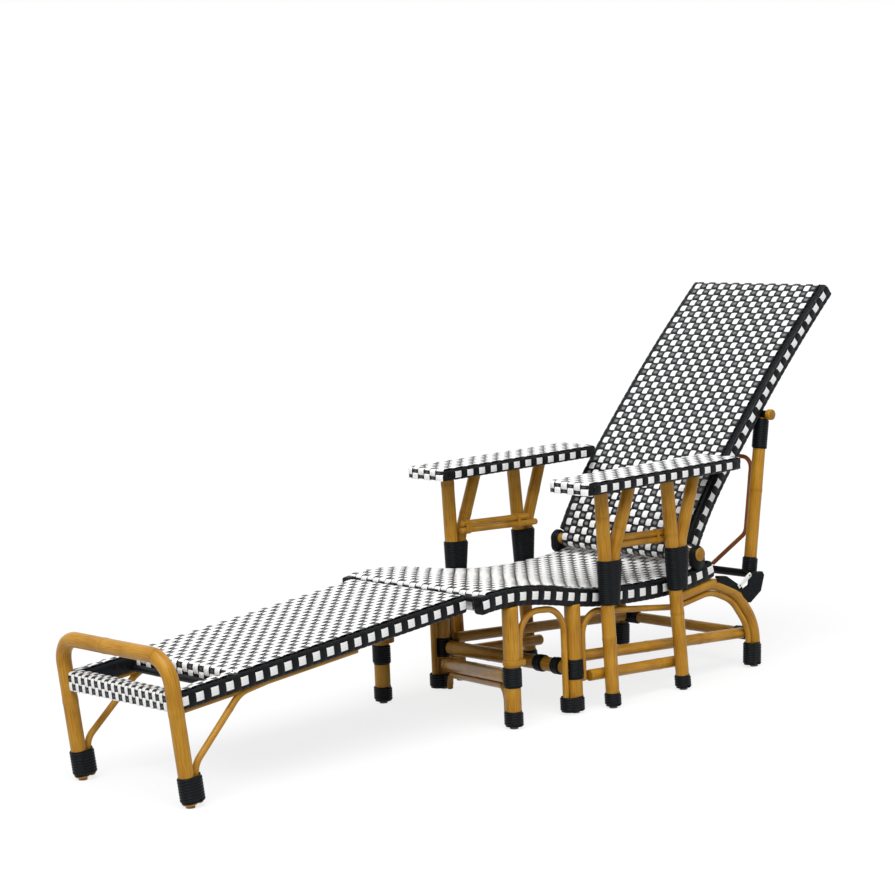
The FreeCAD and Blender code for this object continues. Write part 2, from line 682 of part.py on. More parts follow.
# Bindings: black cane wound around the feet, the joints of the legs, the forks and the prop
upright = (0, 0, 1)
half_leg = leg_d / 2
beside_leg = thin_off + thin_d / 2 - half_leg
beside_rear = rear_off + thin_d / 2 - arch_d / 2
rear_lean = (arch_knee[0] - rear_foot_x, 0, arch_knee[1])
foot_binds = [
    winding((front_leg_x, -leg_y, bind_z), upright, half_leg, 7),
    winding((second_leg_x - beside_leg / 2, -leg_y, bind_z), upright, half_leg, 7, spread=beside_leg),
    winding((rear_leg_x(bind_z) - beside_rear / 2, -leg_y, bind_z), rear_lean, arch_d / 2, 12,
            spread=beside_rear),
]
for post in (front_post_x, rear_post_x):
    lean = (post[1] - post[0], 0, arm_under - foot_z)
    foot_binds.append(winding((post_at(post, bind_z), -post_y, bind_z), lean, post_d / 2, 6))
both("foot_bindings", Part.makeCompound(foot_binds))
knee_binds = [
    winding((front_leg_x, -leg_y, diagonal_z[0] - 5 * cane_pitch), upright, half_leg, 10),
    winding((second_leg_x, -leg_y, second_stretcher_z - 5 * cane_pitch), upright, half_leg, 10),
    winding((rear_at[0], -leg_y + arch_d / 2 + cane_d, rear_at[1]), (0, 1, 0), rail_pole_d / 2, 9),
]
both("knee_bindings", Part.makeCompound(knee_binds))
fork_binds = []
beside_post = beside + fork_d / 2 - post_d / 2
for post in (front_post_x, rear_post_x):
    lean = (post[1] - post[0], 0, arm_under - foot_z)
    low_z = fork_low_z + cane_d
    fork_binds.append(winding((post_at(post, low_z) + beside_post / 2, -post_y, low_z), lean, post_d / 2, 24,
                              spread=beside_post))
both("fork_bindings", Part.makeCompound(fork_binds))
prop_lean = (pivot[0] - bar[0], 0, pivot[1] - bar[1])
prop_binds = [winding(prop_at(z, -prop_y), prop_lean, prop_d / 2, prop_turns)
              for z in (bar[1] + prop_bind[0], pivot[1] - prop_bind[1])]
both("prop_bindings", Part.makeCompound(prop_binds))
hoop_lean = (hoop_top[0] - hoop_foot_x, 0, hoop_top[1] - foot_z)
beside_hoop = thin_d + part_gap
both("hoop_bindings", winding((hoop_x(hoop_bind_z) + beside_hoop / 2, -hoop_half, hoop_bind_z), hoop_lean,
                              hoop_d / 2, 12, spread=beside_hoop))

# Move everything so that the origin is on the floor under the middle, then write the pieces
whole = Part.makeCompound(list(nodes.values())).BoundBox
shift = Vector(-(whole.XMin + whole.XMax) / 2, 0, -whole.ZMin)
for name, shape in nodes.items():
    shape.translate(shift)
    shape.exportStep("parts/" + name + ".step")
    if not shape.isValid():
        print("not valid:", name)
print("nodes", len(nodes), "size", whole.XLength, whole.YLength, whole.ZLength)
print("shift", shift.x, shift.z, "front bar", front_bar, "least gap in a binding", least_gap[0])
for name, point in (("hinge", hinge), ("pivot", pivot), ("dock", dock)):
    print(name, point[0] + shift.x, point[1] + shift.z)
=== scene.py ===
import math

import bmesh
import bpy
import numpy as np
from mathutils import Matrix, Vector


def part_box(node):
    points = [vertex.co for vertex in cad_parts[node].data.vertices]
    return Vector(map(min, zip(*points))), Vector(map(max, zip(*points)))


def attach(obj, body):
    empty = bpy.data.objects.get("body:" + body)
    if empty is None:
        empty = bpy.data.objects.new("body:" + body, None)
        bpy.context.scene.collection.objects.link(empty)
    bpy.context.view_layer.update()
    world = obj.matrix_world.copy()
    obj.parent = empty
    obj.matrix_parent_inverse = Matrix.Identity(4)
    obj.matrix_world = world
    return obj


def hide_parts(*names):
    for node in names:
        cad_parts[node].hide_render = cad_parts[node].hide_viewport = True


# Looks of the rattan chaise longue: noded poles, black and white strips woven one over one,
# wrapped rails with a white strip threaded through, and cane bindings.
# Sizes are in millimetres from the front face of the seat, as in the part's own drawing.

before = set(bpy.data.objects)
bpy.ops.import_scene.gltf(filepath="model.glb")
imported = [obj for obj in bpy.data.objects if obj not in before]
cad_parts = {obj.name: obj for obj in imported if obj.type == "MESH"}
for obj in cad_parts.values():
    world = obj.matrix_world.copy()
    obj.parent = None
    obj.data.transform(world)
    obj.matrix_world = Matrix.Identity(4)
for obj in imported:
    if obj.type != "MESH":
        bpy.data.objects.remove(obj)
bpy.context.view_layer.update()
random = np.random.default_rng(7)

MM = 0.001

# Diameters of the poles and rods, and the gap between two that lie side by side
leg_d, post_d, arch_d, hoop_d, fork_d, prop_d = 38, 33, 29, 34, 30, 32
stretcher_d, rail_d, thin_d, brown_d, tie_d = 34, 27, 15, 11, 16
rod_d, hinge_d, dock_d, slot_rod_d, under_rod_d, slat_d = 20, 27, 14, 16, 10, 18
hinge_end_d, knob_d = 33, 27
touch = 0.3
sides = ((-1, "near"), (1, "far"))

# Legs, arches and the poles between them; corners are (x, z)
front_x, second_x, leg_y = 79, 282, 224
foot_z, front_top, second_top = 5, 286, 261
rear_leg, rear_bend = ((928, 0), (934, 106)), 130
rear_corners = [(640, 217), (775, 236), (864, 197), rear_leg[1]]
side_arch_foot, side_arch_tops, side_arch_bend = 146, (266, 254), 60
long_arch_foot, long_arch_top, long_arch_bend = 70, 236, 52
front_arch_drop, front_arch_end, front_arch_bend = 24.8, 0.0856, 33
diagonal_z, diagonal_fall, diagonal_end = 120, 58, 0.052
stretcher_z, stretcher_half, stretcher_ties_y = 105, 200.9, (-184, -126)
rear_stretcher_z, rear_stretcher_half, rear_wrap_y = 80, 218, 205.9
side_rail, side_rail_y = [(304, 125.7), (912, 85.1)], 202.5
low_rail_end, low_rail_z, low_rail_y = 630, (82, 64), 230.6

# Arms
arm_x, arm_y, arm_top, arm_h = (262, 806), (177, 310), 548, 29
arm_seat, arm_under, post_y = 537.5, 519, 260.9
front_post, rear_post = (((372, foot_z), (353, arm_under)), ((620, foot_z), (582, arm_under)))
fork_z, fork_meet, fork_spread, fork_lean, fork_bend = (246, 366), 15, 30.3, 105.8, 90
tie_z, tie_fall, tie_y, tie_from, tie_inset = 384, 10, 236.1, 8, 4

# Seat, back and prop; the hinge, pivot, dock and foot bar are rods across the part
hinge, pivot, dock, bar = (712, 316), (1002, 628), (-13, 312), (936, 232)
hinge_half, hinge_cap, pivot_half, pivot_cap, dock_half = 248, (238, 251), 243, (227, 245), 208
lug_y, lug_drop, lug_w, lug_wall = 235, 18, 14, 8
seat_half, seat_front_z = 240, 325
back_half, back_w, back_t = 224, 30, 40
bottom_rod_s, back_rod_shares, back_rod_half, back_rod_drop = 16, (0.25, 0.78), 194, 3.1
prop_y, bar_half, rack_out, prop_under, bar_over = 209, 231, 238, 7, 2

# Leg rest; its top runs straight from the foot end to the head end
rest_foot, rest_head = (-838, 245), (-32, 322)
rest_half, rest_w, rest_h, rest_rail_x = 195, 32, 40, -845
slot_x, end_x, end_w, under_rod_x = -688, -863, 30, (-835, -345)
hoop_leg, hoop_y, hoop_bend = ((-829, foot_z), (-867, 321)), 190, 58
brace_gap, brace_knee, brace_bends = 0.6, 86, [40, 70]
brace_end = [(-676, -2), (-600, 2.6)]

# Weave and bindings: cells, widths of the flat cane, and the pitch of its turns
cell, rail_cell, sheet_depth = 20.5, 20, 0.7
cane, cane_pitch, lap_pitch = 3.6, 4.2, 6.4
strap_cane, strap_pitch, strap_lap, strap_w, strap_y = 4.2, 4.4, 5.5, 22, 139
dock_strap_x, dock_strap_y = (-47, -62), 70
golden_cane, golden_pitch = 2.4, 3.4
foot_wrap_z, hoop_wrap_z, knee_wrap_z, knee_wrap_lap = 9, 15, (99, 84), 5
fork_wrap_z, prop_wraps = (249.6, 350.4), [(239, 8), (545, 17)]

legs_low, legs_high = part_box("front_legs")
start_x = (legs_low.x + legs_high.x) / 2 - front_x * MM


def metres(points):
    """Drawing points in millimetres, as points of the frame."""
    return np.asarray(points, float) * MM + [start_x, 0, 0]


def unit(v):
    v = np.asarray(v, float)
    return v / np.linalg.norm(v, axis=-1, keepdims=True)


def xyz(x, y, z):
    """Points from their coordinates."""
    return np.stack(np.broadcast_arrays(x, y, z), -1)


def runs(line):
    """The distance along a line at each of its points."""
    return np.concatenate([[0], np.cumsum(np.linalg.norm(np.diff(line, axis=0), axis=1))])


def full_turn(count):
    """Angles all around, with the last step left to close it."""
    return np.linspace(0, 2 * math.pi, count + 1)[:-1]


# Materials


class Shader:
    """A node material around one glossy shader."""

    def __init__(self, name, roughness, specular=0.5):
        self.material = bpy.data.materials.new(name)
        self.material.use_nodes = True
        self.tree = self.material.node_tree
        self.out = self.tree.nodes["Principled BSDF"]
        self.feed(self.out, "Roughness", roughness)
        self.feed(self.out, "Specular IOR Level", specular)

    def node(self, kind, **inputs):
        made = self.tree.nodes.new(kind)
        for key, value in inputs.items():
            self.feed(made, key.replace("_", " "), value)
        return made

    def feed(self, node, socket, value):
        if isinstance(value, bpy.types.NodeSocket):
            self.tree.links.new(value, node.inputs[socket])
        else:
            node.inputs[socket].default_value = value

    def attribute(self, name, output):
        made = self.tree.nodes.new("ShaderNodeAttribute")
        made.attribute_name = name
        return made.outputs[output]

    def math(self, operation, a, b=0.0):
        made = self.tree.nodes.new("ShaderNodeMath")
        made.operation = operation
        self.feed(made, 0, a)
        self.feed(made, 1, b)
        return made.outputs[0]

    def noise(self, vector, stretch, scale, detail=3.0):
        vector = self.node("ShaderNodeMapping", Vector=vector, Scale=stretch).outputs[0]
        return self.node("ShaderNodeTexNoise", Vector=vector, Scale=scale, Detail=detail).outputs["Fac"]

    def ramp(self, factor, stops):
        made = self.tree.nodes.new("ShaderNodeValToRGB")
        self.feed(made, "Fac", factor)
        elements = made.color_ramp.elements
        while len(elements) < len(stops):
            elements.new(0.5)
        for element, (place, colour) in zip(elements, stops):
            element.position = place
            element.color = (*colour, 1)
        return made.outputs["Color"]

    def mix(self, factor, a, b, blend="MIX"):
        made = self.tree.nodes.new("ShaderNodeMix")
        made.data_type = "RGBA"
        made.blend_type = blend
        self.feed(made, "Factor", factor)
        for socket, value in ((6, a), (7, b)):
            self.feed(made, socket, value if isinstance(value, bpy.types.NodeSocket) else (*value, 1))
        return made.outputs[2]

    def finish(self, colour, roughness, height, depth, strength):
        bump = self.node("ShaderNodeBump", Height=height, Distance=depth, Strength=strength).outputs[0]
        for socket, value in (("Base Color", colour), ("Roughness", roughness), ("Normal", bump)):
            self.feed(self.out, socket, value)
        return self.material


def rattan(name, deep, body, pale):
    """Varnished pole: streaks along it, patches of tone, and dark rings at its nodes."""
    streak_scale, patch_scale, speck_scale, grain_depth = 420.0, 14.0, 900.0, 0.0005
    ring_dark, fleck_limit, fleck_dark = 0.3, 0.68, 0.35
    s = Shader(name, 0.3, 0.22)
    along = s.attribute("along", "Vector")
    ring = s.attribute("ring", "Fac")
    streaks = s.noise(along, (1, 1, 0.05), streak_scale, 4.0)
    patches = s.noise(along, (0.6, 0.6, 1), patch_scale, 2.0)
    specks = s.noise(along, (1, 1, 0.35), speck_scale, 2.0)
    tone = s.math("MULTIPLY", s.math("ADD", streaks, patches), 0.5)
    colour = s.ramp(tone, [(0.3, deep), (0.5, body), (0.7, pale)])
    colour = s.mix(s.math("MULTIPLY", ring, ring_dark), colour, tuple(c * 0.5 for c in deep))
    flecks = s.math("MULTIPLY", s.math("GREATER_THAN", specks, fleck_limit), fleck_dark)
    colour = s.mix(flecks, colour, deep)
    roughness = s.math("ADD", s.math("MULTIPLY", streaks, 0.25), 0.17)
    height = s.math("SUBTRACT", streaks, s.math("MULTIPLY", ring, 1.5))
    return s.finish(colour, roughness, height, grain_depth, 0.5)


def strip(name, dark, light, strands, gloss, shade, specular=0.5, crown=None):
    """Woven strip of a few flat strands side by side, with small changes of tone, painted shade in the
    grooves between the strands, and, if a highlight colour is given, a painted highlight on the crowns.
    """
    groove_depth = 0.0004
    s = Shader(name, gloss, specular)
    uv = s.node("ShaderNodeTexCoord").outputs["UV"]
    side = s.node("ShaderNodeSeparateXYZ", Vector=uv).outputs[0]
    lines = s.math("ABSOLUTE", s.math("SINE", s.math("MULTIPLY", side, strands * math.pi)))
    groove = s.math("POWER", lines, 0.4)
    grain = s.noise(uv, (30, 60, 1), 6.0)
    tone = s.math("MULTIPLY", s.math("ADD", s.attribute("tone", "Fac"), grain), 0.5)
    colour = s.ramp(tone, [(0.25, dark), (0.75, light)])
    # Painted shade: the colour is darkened in the grooves between the strands, deeper for a larger
    # shade.
    light_in_groove = s.ramp(groove, [(0.0, (1 - shade,) * 3), (1.0, (1, 1, 1))])
    colour = s.mix(1.0, colour, light_in_groove, "MULTIPLY")
    # Painted highlight: the given pale colour is mixed in where the ring attribute marks the crowns.
    if crown:
        highlight_mask = s.ramp(s.attribute("ring", "Fac"), [(0.5, (0, 0, 0)), (1.0, (1, 1, 1))])
        colour = s.mix(highlight_mask, colour, crown)
    roughness = s.math("ADD", s.math("MULTIPLY", grain, 0.2), gloss - 0.1)
    return s.finish(colour, roughness, groove, groove_depth, 0.4)


def cane_wrap(name, dark, light):
    """Black wound cane, with fibre lines along the winding."""
    fibre_depth = 0.0004
    s = Shader(name, 0.3, 0.1)
    uv = s.node("ShaderNodeTexCoord").outputs["UV"]
    fibres = s.noise(uv, (10, 25, 1), 5.0)
    colour = s.ramp(fibres, [(0.3, dark), (0.7, light)])
    roughness = s.math("ADD", s.math("MULTIPLY", fibres, 0.25), 0.2)
    return s.finish(colour, roughness, fibres, fibre_depth, 0.4)


honey = rattan("honey_rattan", (0.29, 0.12, 0.006), (0.45, 0.215, 0.016), (0.56, 0.3, 0.04))
brown = rattan("brown_cane", (0.22, 0.06, 0.012), (0.37, 0.11, 0.025), (0.46, 0.17, 0.05))
# The number after the gloss is the depth of the painted shade in the grooves between strands.
white = strip("white_strip", (0.86, 0.86, 0.85), (0.95, 0.95, 0.945), 3, 0.42, 0.14)
black = strip("black_strip", (0.005, 0.0055, 0.007), (0.010, 0.011, 0.013), 2, 0.3, 0.35, 0.1)
# The black weave has a painted highlight: a pale grey colour on the crowns of its strips.
woven = strip("black_weave", (0.004, 0.0045, 0.006), (0.008, 0.009, 0.011), 2, 0.3, 0.25, 0.24,
              crown=(0.27, 0.275, 0.28))
wound = cane_wrap("black_cane", (0.004, 0.0045, 0.006), (0.010, 0.012, 0.014))


# Meshes


def put(name, data):
    """A new object in the scene."""
    made = bpy.data.objects.new(name, data)
    bpy.context.scene.collection.objects.link(made)
    return made


class Patchwork:
    """Collects grids of points into one mesh, each grid with its own material."""

    def __init__(self):
        self.points, self.quads, self.uvs, self.slots = [], [], [], []
        # The ring mark holds the dark rings at pole nodes and, on the black weave, the share of the
        # painted highlight.
        self.marks = {"tone": [], "ring": [], "along": []}
        self.materials = []
        self.total = 0

    def add(self, grid, material, closed=False, flip=False, tone=0.5, ring=0.0, along=(0, 0, 0)):
        if flip:
            grid = grid * [1, -1, 1]
        rows, cols = grid.shape[:2]
        count = rows * cols
        index = self.total + np.arange(count).reshape(rows, cols)
        uv = flat_uv(grid)
        if closed:
            index = np.concatenate([index, index[:, :1]], 1)
            uv = np.concatenate([uv, uv[:, :1] * [0, 1] + [1, 0]], 1)
        self.quads.append(corners_of(index).reshape(-1, 4))
        self.uvs.append(corners_of(uv).reshape(-1, 2))
        if material not in self.materials:
            self.materials.append(material)
        self.slots.append(np.full(len(self.quads[-1]), self.materials.index(material)))
        self.points.append(grid.reshape(-1, 3))
        self.marks["tone"].append(np.full(count, tone))
        self.marks["ring"].append(np.broadcast_to(ring, (rows, cols)).ravel())
        self.marks["along"].append(np.broadcast_to(along, (rows, cols, 3)).reshape(-1, 3))
        self.total += count

    def piece(self, name, body, replaces, slot):
        """Makes the object, which rides on a body and may stand for named nodes."""
        mesh = bpy.data.meshes.new(name)
        points, quads = metres(np.concatenate(self.points)), np.concatenate(self.quads)
        mesh.from_pydata(points, [], quads, shade_flat=False)
        mesh.uv_layers.new(name="UVMap").data.foreach_set("uv", np.concatenate(self.uvs).ravel())
        for key, kind in (("tone", "FLOAT"), ("ring", "FLOAT"), ("along", "FLOAT_VECTOR")):
            values = np.concatenate(self.marks[key]).astype(np.float32).ravel()
            layer = mesh.attributes.new(key, kind, "POINT")
            layer.data.foreach_set("value" if kind == "FLOAT" else "vector", values)
        for material in self.materials:
            mesh.materials.append(material)
        mesh.polygons.foreach_set("material_index", np.concatenate(self.slots).astype(np.int32))
        work = bmesh.new()
        work.from_mesh(mesh)
        bmesh.ops.recalc_face_normals(work, faces=work.faces)
        work.to_mesh(mesh)
        work.free()
        made = put(name, mesh)
        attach(made, body)
        if replaces:
            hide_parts(*replaces)


def corners_of(grid):
    """The four corners of every cell of a grid."""
    return np.stack([grid[:-1, :-1], grid[1:, :-1], grid[1:, 1:], grid[:-1, 1:]], 2)


def flat_uv(grid):
    """U across a strip from 0 to 1, V along it in metres."""
    rows, cols = grid.shape[:2]
    middle = grid[:, cols // 2]
    side, run = np.linspace(0, 1, cols), runs(middle) * MM
    return np.stack(np.broadcast_arrays(side[None, :], run[:, None]), -1)


# Poles


def route(points, bends):
    """A line through the points, with every inner corner rounded to its bend radius."""
    steps = 17
    corners = [np.array(p, float) for p in points]
    bends = np.broadcast_to(bends, len(corners) - 2)
    line = [corners[0]]
    for before, corner, after, bend in zip(corners, corners[1:], corners[2:], bends):
        back, ahead = unit(before - corner), unit(after - corner)
        half = math.acos(np.clip(back @ ahead, -1, 1)) / 2
        centre = corner + unit(back + ahead) * bend / math.sin(half)
        first = corner + back * bend / math.tan(half) - centre
        last = corner + ahead * bend / math.tan(half) - centre
        turn = math.pi - 2 * half
        for a in np.linspace(0, turn, steps):
            line.append(centre + (first * math.sin(turn - a) + last * math.sin(a)) / math.sin(turn))
    return np.array(line + [corners[-1]])


def spaced(line, stations):
    """Points of a line at distances along it."""
    run = runs(line)
    return np.stack([np.interp(stations, run, line[:, k]) for k in range(3)], 1)


def carried_frames(line):
    """Two side directions along a line, carried along it without twist."""
    ahead = unit(np.gradient(line, axis=0))
    side = np.cross(ahead[0], [0.3, 0.2, 0.9] if abs(ahead[0][2]) < 0.8 else [0.9, 0.3, 0.1])
    carried = []
    for t in ahead:
        side = unit(side - t * (side @ t))
        carried.append(side)
    return np.array(carried), np.cross(ahead, carried)


def add_pole(work, points, diameter, bend, material, flip):
    """One noded pole with rounded ends."""
    node_apart, node_swell, node_half, ring_half = (110.0, 230.0), 0.045, 6.0, 2.2
    wobble, tip_most, step, no_node = 0.006, 4.0, 6.0, 99.0
    line = route(points, bend)
    length = runs(line)[-1]
    radius = diameter / 2
    tip = min(tip_most, radius / 2)
    inner = np.linspace(tip, length - tip, max(3, int(length / step)))
    ends = tip * np.array([0, 0.12, 0.4, 0.7])
    stations = np.concatenate([ends, inner, length - ends[::-1]])
    places = spaced(line, stations)
    side, over = carried_frames(places)
    nodes = random.uniform(20, 90) + np.cumsum(random.uniform(*node_apart, 40))
    nodes = nodes[nodes < length - 15]
    near = np.abs(stations[:, None] - nodes).min(1, initial=no_node)
    swell = 1 + node_swell * np.exp(-(near / node_half) ** 2) + wobble * np.sin(stations / 37 + radius)
    to_end = np.clip(np.minimum(stations, length - stations) / tip, 0, 1)
    cap = np.sqrt(np.clip(1 - (1 - to_end) ** 2, 0.0004, 1))
    angle = full_turn(24)
    around = np.cos(angle)[None, :, None] * side[:, None] + np.sin(angle)[None, :, None] * over[:, None]
    grid = places[:, None] + around * (radius * swell * cap)[:, None, None]
    ring = np.maximum(np.exp(-(near / ring_half) ** 2), 1.6 * (cap < 0.9))
    offset = random.uniform(0, 3)
    run = (stations * MM + offset)[:, None]
    along = xyz(np.cos(angle) * radius * MM, np.sin(angle) * radius * MM, run)
    work.add(grid, material, closed=True, flip=flip, ring=ring[:, None], along=along)


def pole(name, body, routes, diameter, bend=0.0, both=False, material=honey):
    """Poles of one CAD node, as given or on both sides, which stand for that node."""
    work = Patchwork()
    for points in routes:
        for flip in (False, True) if both else (False,):
            add_pole(work, points, diameter, bend, material, flip)
    slots = {honey: "rattan", brown: "brown_cane", wound: "black_cane"}
    work.piece(name + "_pole", body, [name], slots[material])


def capped_rod(name, body, centre, half, diameter, material, cap, cap_d):
    """A rod across the part, with a thicker honey end on each side."""
    work = Patchwork()
    add_pole(work, across(centre, half), diameter, 0, material, False)
    for flip in (False, True):
        add_pole(work, [(centre[0], -y, centre[1]) for y in cap], cap_d, 0, honey, flip)
    work.piece(name + "_pole", body, [name], "rattan")


def across(centre, half):
    """The two ends of a rod across the part."""
    return [(centre[0], -half, centre[1]), (centre[0], half, centre[1])]


def at_height(z, low, high):
    """The x at a height on a slanted pole."""
    return low[0] + (high[0] - low[0]) * (z - low[1]) / (high[1] - low[1])


def slant(low, high):
    """The direction of a slanted pole."""
    return (high[0] - low[0], 0, high[1] - low[1])


def rest_z(x):
    """The height of the leg rest's top."""
    (x0, z0), (x1, z1) = rest_foot, rest_head
    return z0 + (z1 - z0) * (x - x0) / (x1 - x0)


def prop_at(z, y):
    """A point of the prop at a height."""
    return (at_height(z, bar, pivot), y, z)


# From a leg or a rear arch to the thin arch beside it
thin_off = (leg_d + thin_d) / 2 + 4.1
rear_off = (arch_d + thin_d) / 2 + 0.5


def at_leg(points):
    """Corners in the plane of the near legs."""
    return [(x, -leg_y, z) for x, z in points]


def inside_bend(points, distance):
    """The corners of a line on the inner side of a bent one, at an even distance."""
    corners = np.array(points, float)
    ahead = unit(np.diff(corners, axis=0))
    side = np.stack([ahead[:, 1], -ahead[:, 0]], 1)
    inner = [corners[0] + side[0] * distance]
    for corner, one, two in zip(corners[1:], side, side[1:]):
        inner.append(corner + (one + two) * distance / (1 + one @ two))
    return [tuple(p) for p in inner + [corners[-1] + side[-1] * distance]]


def arm_ties():
    """The two rods along the inner faces of the arm posts of the near side."""
    start, post = at_height(tie_z, *front_post) + tie_from, at_height(tie_z, *rear_post)
    slope = tie_fall / (post - start)
    rods = []
    at_post = post + post_d / 2 - tie_inset
    for side, end in ((1, at_post), (-1, at_post + fork_d + touch)):
        top = tie_z + side * (tie_d + touch) / 2 + tie_fall / 2
        rods.append([(x, -tie_y, top - slope * (x - start)) for x in (start, end)])
    return rods


def seat_poles():
    body = "seat_frame"
    for stem, x, top in (("front", front_x, front_top), ("second", second_x, second_top)):
        pole(stem + "_legs", body, [at_leg([(x, foot_z), (x, top)])], leg_d, both=True)
    rear = rear_corners + [(at_height(foot_z, *rear_leg), foot_z)]
    pole("rear_arches", body, [at_leg(rear)], arch_d, rear_bend, both=True)
    left, right = front_x + (leg_d + thin_d) / 2 + touch, second_x - thin_off
    high, low = side_arch_tops
    side = [(left, side_arch_foot), (left, high), (right, low), (right, foot_z)]
    pole("side_arches", body, [at_leg(side)], thin_d, side_arch_bend, both=True)
    first = second_x + thin_off
    long_arch = [(first, long_arch_foot), (first, long_arch_top)] + inside_bend(rear, rear_off)
    bends = [long_arch_bend] * 2 + [rear_bend - rear_off] * 3
    pole("long_arches", body, [at_leg(long_arch)], thin_d, bends, both=True)
    pole("second_stretcher", body, [across((second_x, stretcher_z), stretcher_half)], stretcher_d)
    rear_place = (at_height(rear_stretcher_z, *rear_leg), rear_stretcher_z)
    pole("rear_stretcher", body, [across(rear_place, rear_stretcher_half)], rail_d)

    def diagonal(share, drop):
        """A point under the line from the near front leg to the far second leg."""
        z = diagonal_z - diagonal_fall * share - drop
        return (front_x + (second_x - front_x) * share, -leg_y + 2 * leg_y * share, z)

    ends = [diagonal(share, 0) for share in (diagonal_end, 1 - diagonal_end)]
    pole("front_diagonal", body, [ends], stretcher_d)
    tops = [diagonal(share, front_arch_drop) for share in (front_arch_end, 1 - front_arch_end)]
    feet = [(x, y, foot_z) for x, y, z in tops]
    pole("front_arch", body, [[feet[0], *tops, feet[1]]], thin_d, front_arch_bend)
    pole("side_rails", body, [[(x, -side_rail_y, z) for x, z in side_rail]], rail_d, both=True)
    low_rail = zip((first + thin_d / 2 + 1.2, low_rail_end), low_rail_z)
    pole("low_rails", body, [[(x, -low_rail_y, z) for x, z in low_rail]], rail_d, both=True)
    beside = (post_d + fork_d) / 2 + touch
    for stem, post in (("front", front_post), ("rear", rear_post)):
        upright = [(at_height(z, *post), -post_y, z) for z in (foot_z, arm_seat)]
        pole("arm_post_" + stem, body, [upright], post_d, both=True)
        offsets = (fork_meet + 1.5, beside)
        fork = [(at_height(z, *post) + off, -post_y, z) for z, off in zip(fork_z, offsets)]
        fork.append((post[1][0] + fork_lean, -post_y, arm_seat))
        pole("arm_fork_" + stem, body, [fork], fork_d, fork_bend, both=True)
    pole("arm_stretchers", body, arm_ties(), tie_d, both=True)
    capped_rod("hinge_rod", body, hinge, hinge_half, hinge_d, honey, hinge_cap, hinge_end_d)
    pole("dock_rod", body, [across(dock, dock_half)], dock_d, material=wound)


def back_poles(track):
    bottom = track.place(bottom_rod_s, back_t / 2)
    pole("back_bottom_rod", "backrest", [across(bottom, back_rod_half)], rod_d)
    low, high = (share * track.length for share in back_rod_shares)
    stations = (low, track.nearest(pivot), high)
    rods = [track.place(s, back_t / 2 + back_rod_drop) for s in stations]
    pole("back_cross_rods", "backrest", [across(rod, back_rod_half) for rod in rods], rod_d)


def prop_poles():
    for side, word in sides:
        leg = [prop_at(z, side * prop_y) for z in (pivot[1] - prop_under, bar[1] + bar_over)]
        pole("prop_leg_" + word, "prop", [leg], prop_d)
    capped_rod("prop_pivot_rod", "prop", pivot, pivot_half, rod_d, wound, pivot_cap, knob_d)
    pole("prop_foot_bar", "prop", [across(bar, bar_half)], rod_d, material=wound)
    inside = prop_y - (prop_d + brown_d) / 2 - touch
    low, knee, top, reach, arch_bend = 246, 332, 520, 100, 30
    half = [prop_at(low, reach - inside), prop_at(knee, -inside), prop_at(top, -inside)]
    arch = half + [(x, -y, z) for x, y, z in half[::-1]]
    pole("prop_inner_arch", "prop", [arch], brown_d, arch_bend, material=brown)


def rest_poles():
    body = "leg_rest"
    half = [(x, -hoop_y, z) for x, z in hoop_leg]
    pole("hoop", body, [half + [(x, -y, z) for x, y, z in half[::-1]]], hoop_d, hoop_bend)
    cross_x = slot_x - slot_rod_d / 2
    cross = across((cross_x, rest_z(cross_x) - rest_h + slot_rod_d / 2), rest_half - rest_w)
    pole("rest_cross_rod", body, [cross], slot_rod_d, material=wound)
    rail_y = -rest_half + rest_w / 2
    under = rest_h + under_rod_d / 2 + 0.1
    rod = [(x, rail_y, rest_z(x) - under) for x in under_rod_x]
    pole("rest_under_rods", body, [rod], under_rod_d, both=True)
    beside = (hoop_d + thin_d) / 2 + brace_gap
    brace = [(at_height(z, *hoop_leg) + beside, -hoop_y, z) for z in (foot_z, brace_knee)]
    brace += [(x, rail_y, rest_z(x) - under + up) for x, up in brace_end]
    pole("rest_braces", body, [brace], thin_d, brace_bends, both=True)


# Tracks of the woven faces and the rails


class Track:
    """A line in a plane, read by the distance along it, with its left-hand normals."""

    def __init__(self, points):
        self.points = np.asarray(points, float)
        self.run = runs(self.points)
        self.length = self.run[-1]
        ahead = unit(np.gradient(self.points, axis=0))
        self.normals = np.stack([-ahead[:, 1], ahead[:, 0]], 1)

    def read(self, s):
        """Points and normals at the distances s."""
        place = np.stack([np.interp(s, self.run, self.points[:, k]) for k in (0, 1)], -1)
        normal = np.stack([np.interp(s, self.run, self.normals[:, k]) for k in (0, 1)], -1)
        return place, unit(normal)

    def place(self, s, depth):
        """The point at a depth under the line."""
        point, normal = self.read(s)
        return tuple(point - normal * depth)

    def nearest(self, point):
        """The distance along the line of its point next to a given one."""
        return self.run[np.argmin(np.linalg.norm(self.points - point, axis=1))]

    def folded(self, radius, first_drop, last_drop):
        """The same line with its ends folded down over rounded edges; an end without a drop is cut."""
        (p0, n0), (p1, n1) = self.read(0), self.read(self.length)
        t0, t1 = np.array([n0[1], -n0[0]]), np.array([n1[1], -n1[0]])
        angles = np.linspace(0, math.pi / 2, 9)
        line = []
        if first_drop:
            centre = p0 + (t0 - n0) * radius
            line.append(p0 - n0 * first_drop)
            line += [centre + (n0 * math.sin(a) - t0 * math.cos(a)) * radius for a in angles]
        line += list(self.read(np.linspace(radius, self.length - radius, 200))[0])
        if last_drop:
            centre = p1 - (t1 + n1) * radius
            line += [centre + (n1 * math.cos(a) + t1 * math.sin(a)) * radius for a in angles]
            line.append(p1 - n1 * last_drop)
        return Track(line)

    def part(self, s0, s1):
        return Track(self.read(np.linspace(s0, s1, 80))[0])


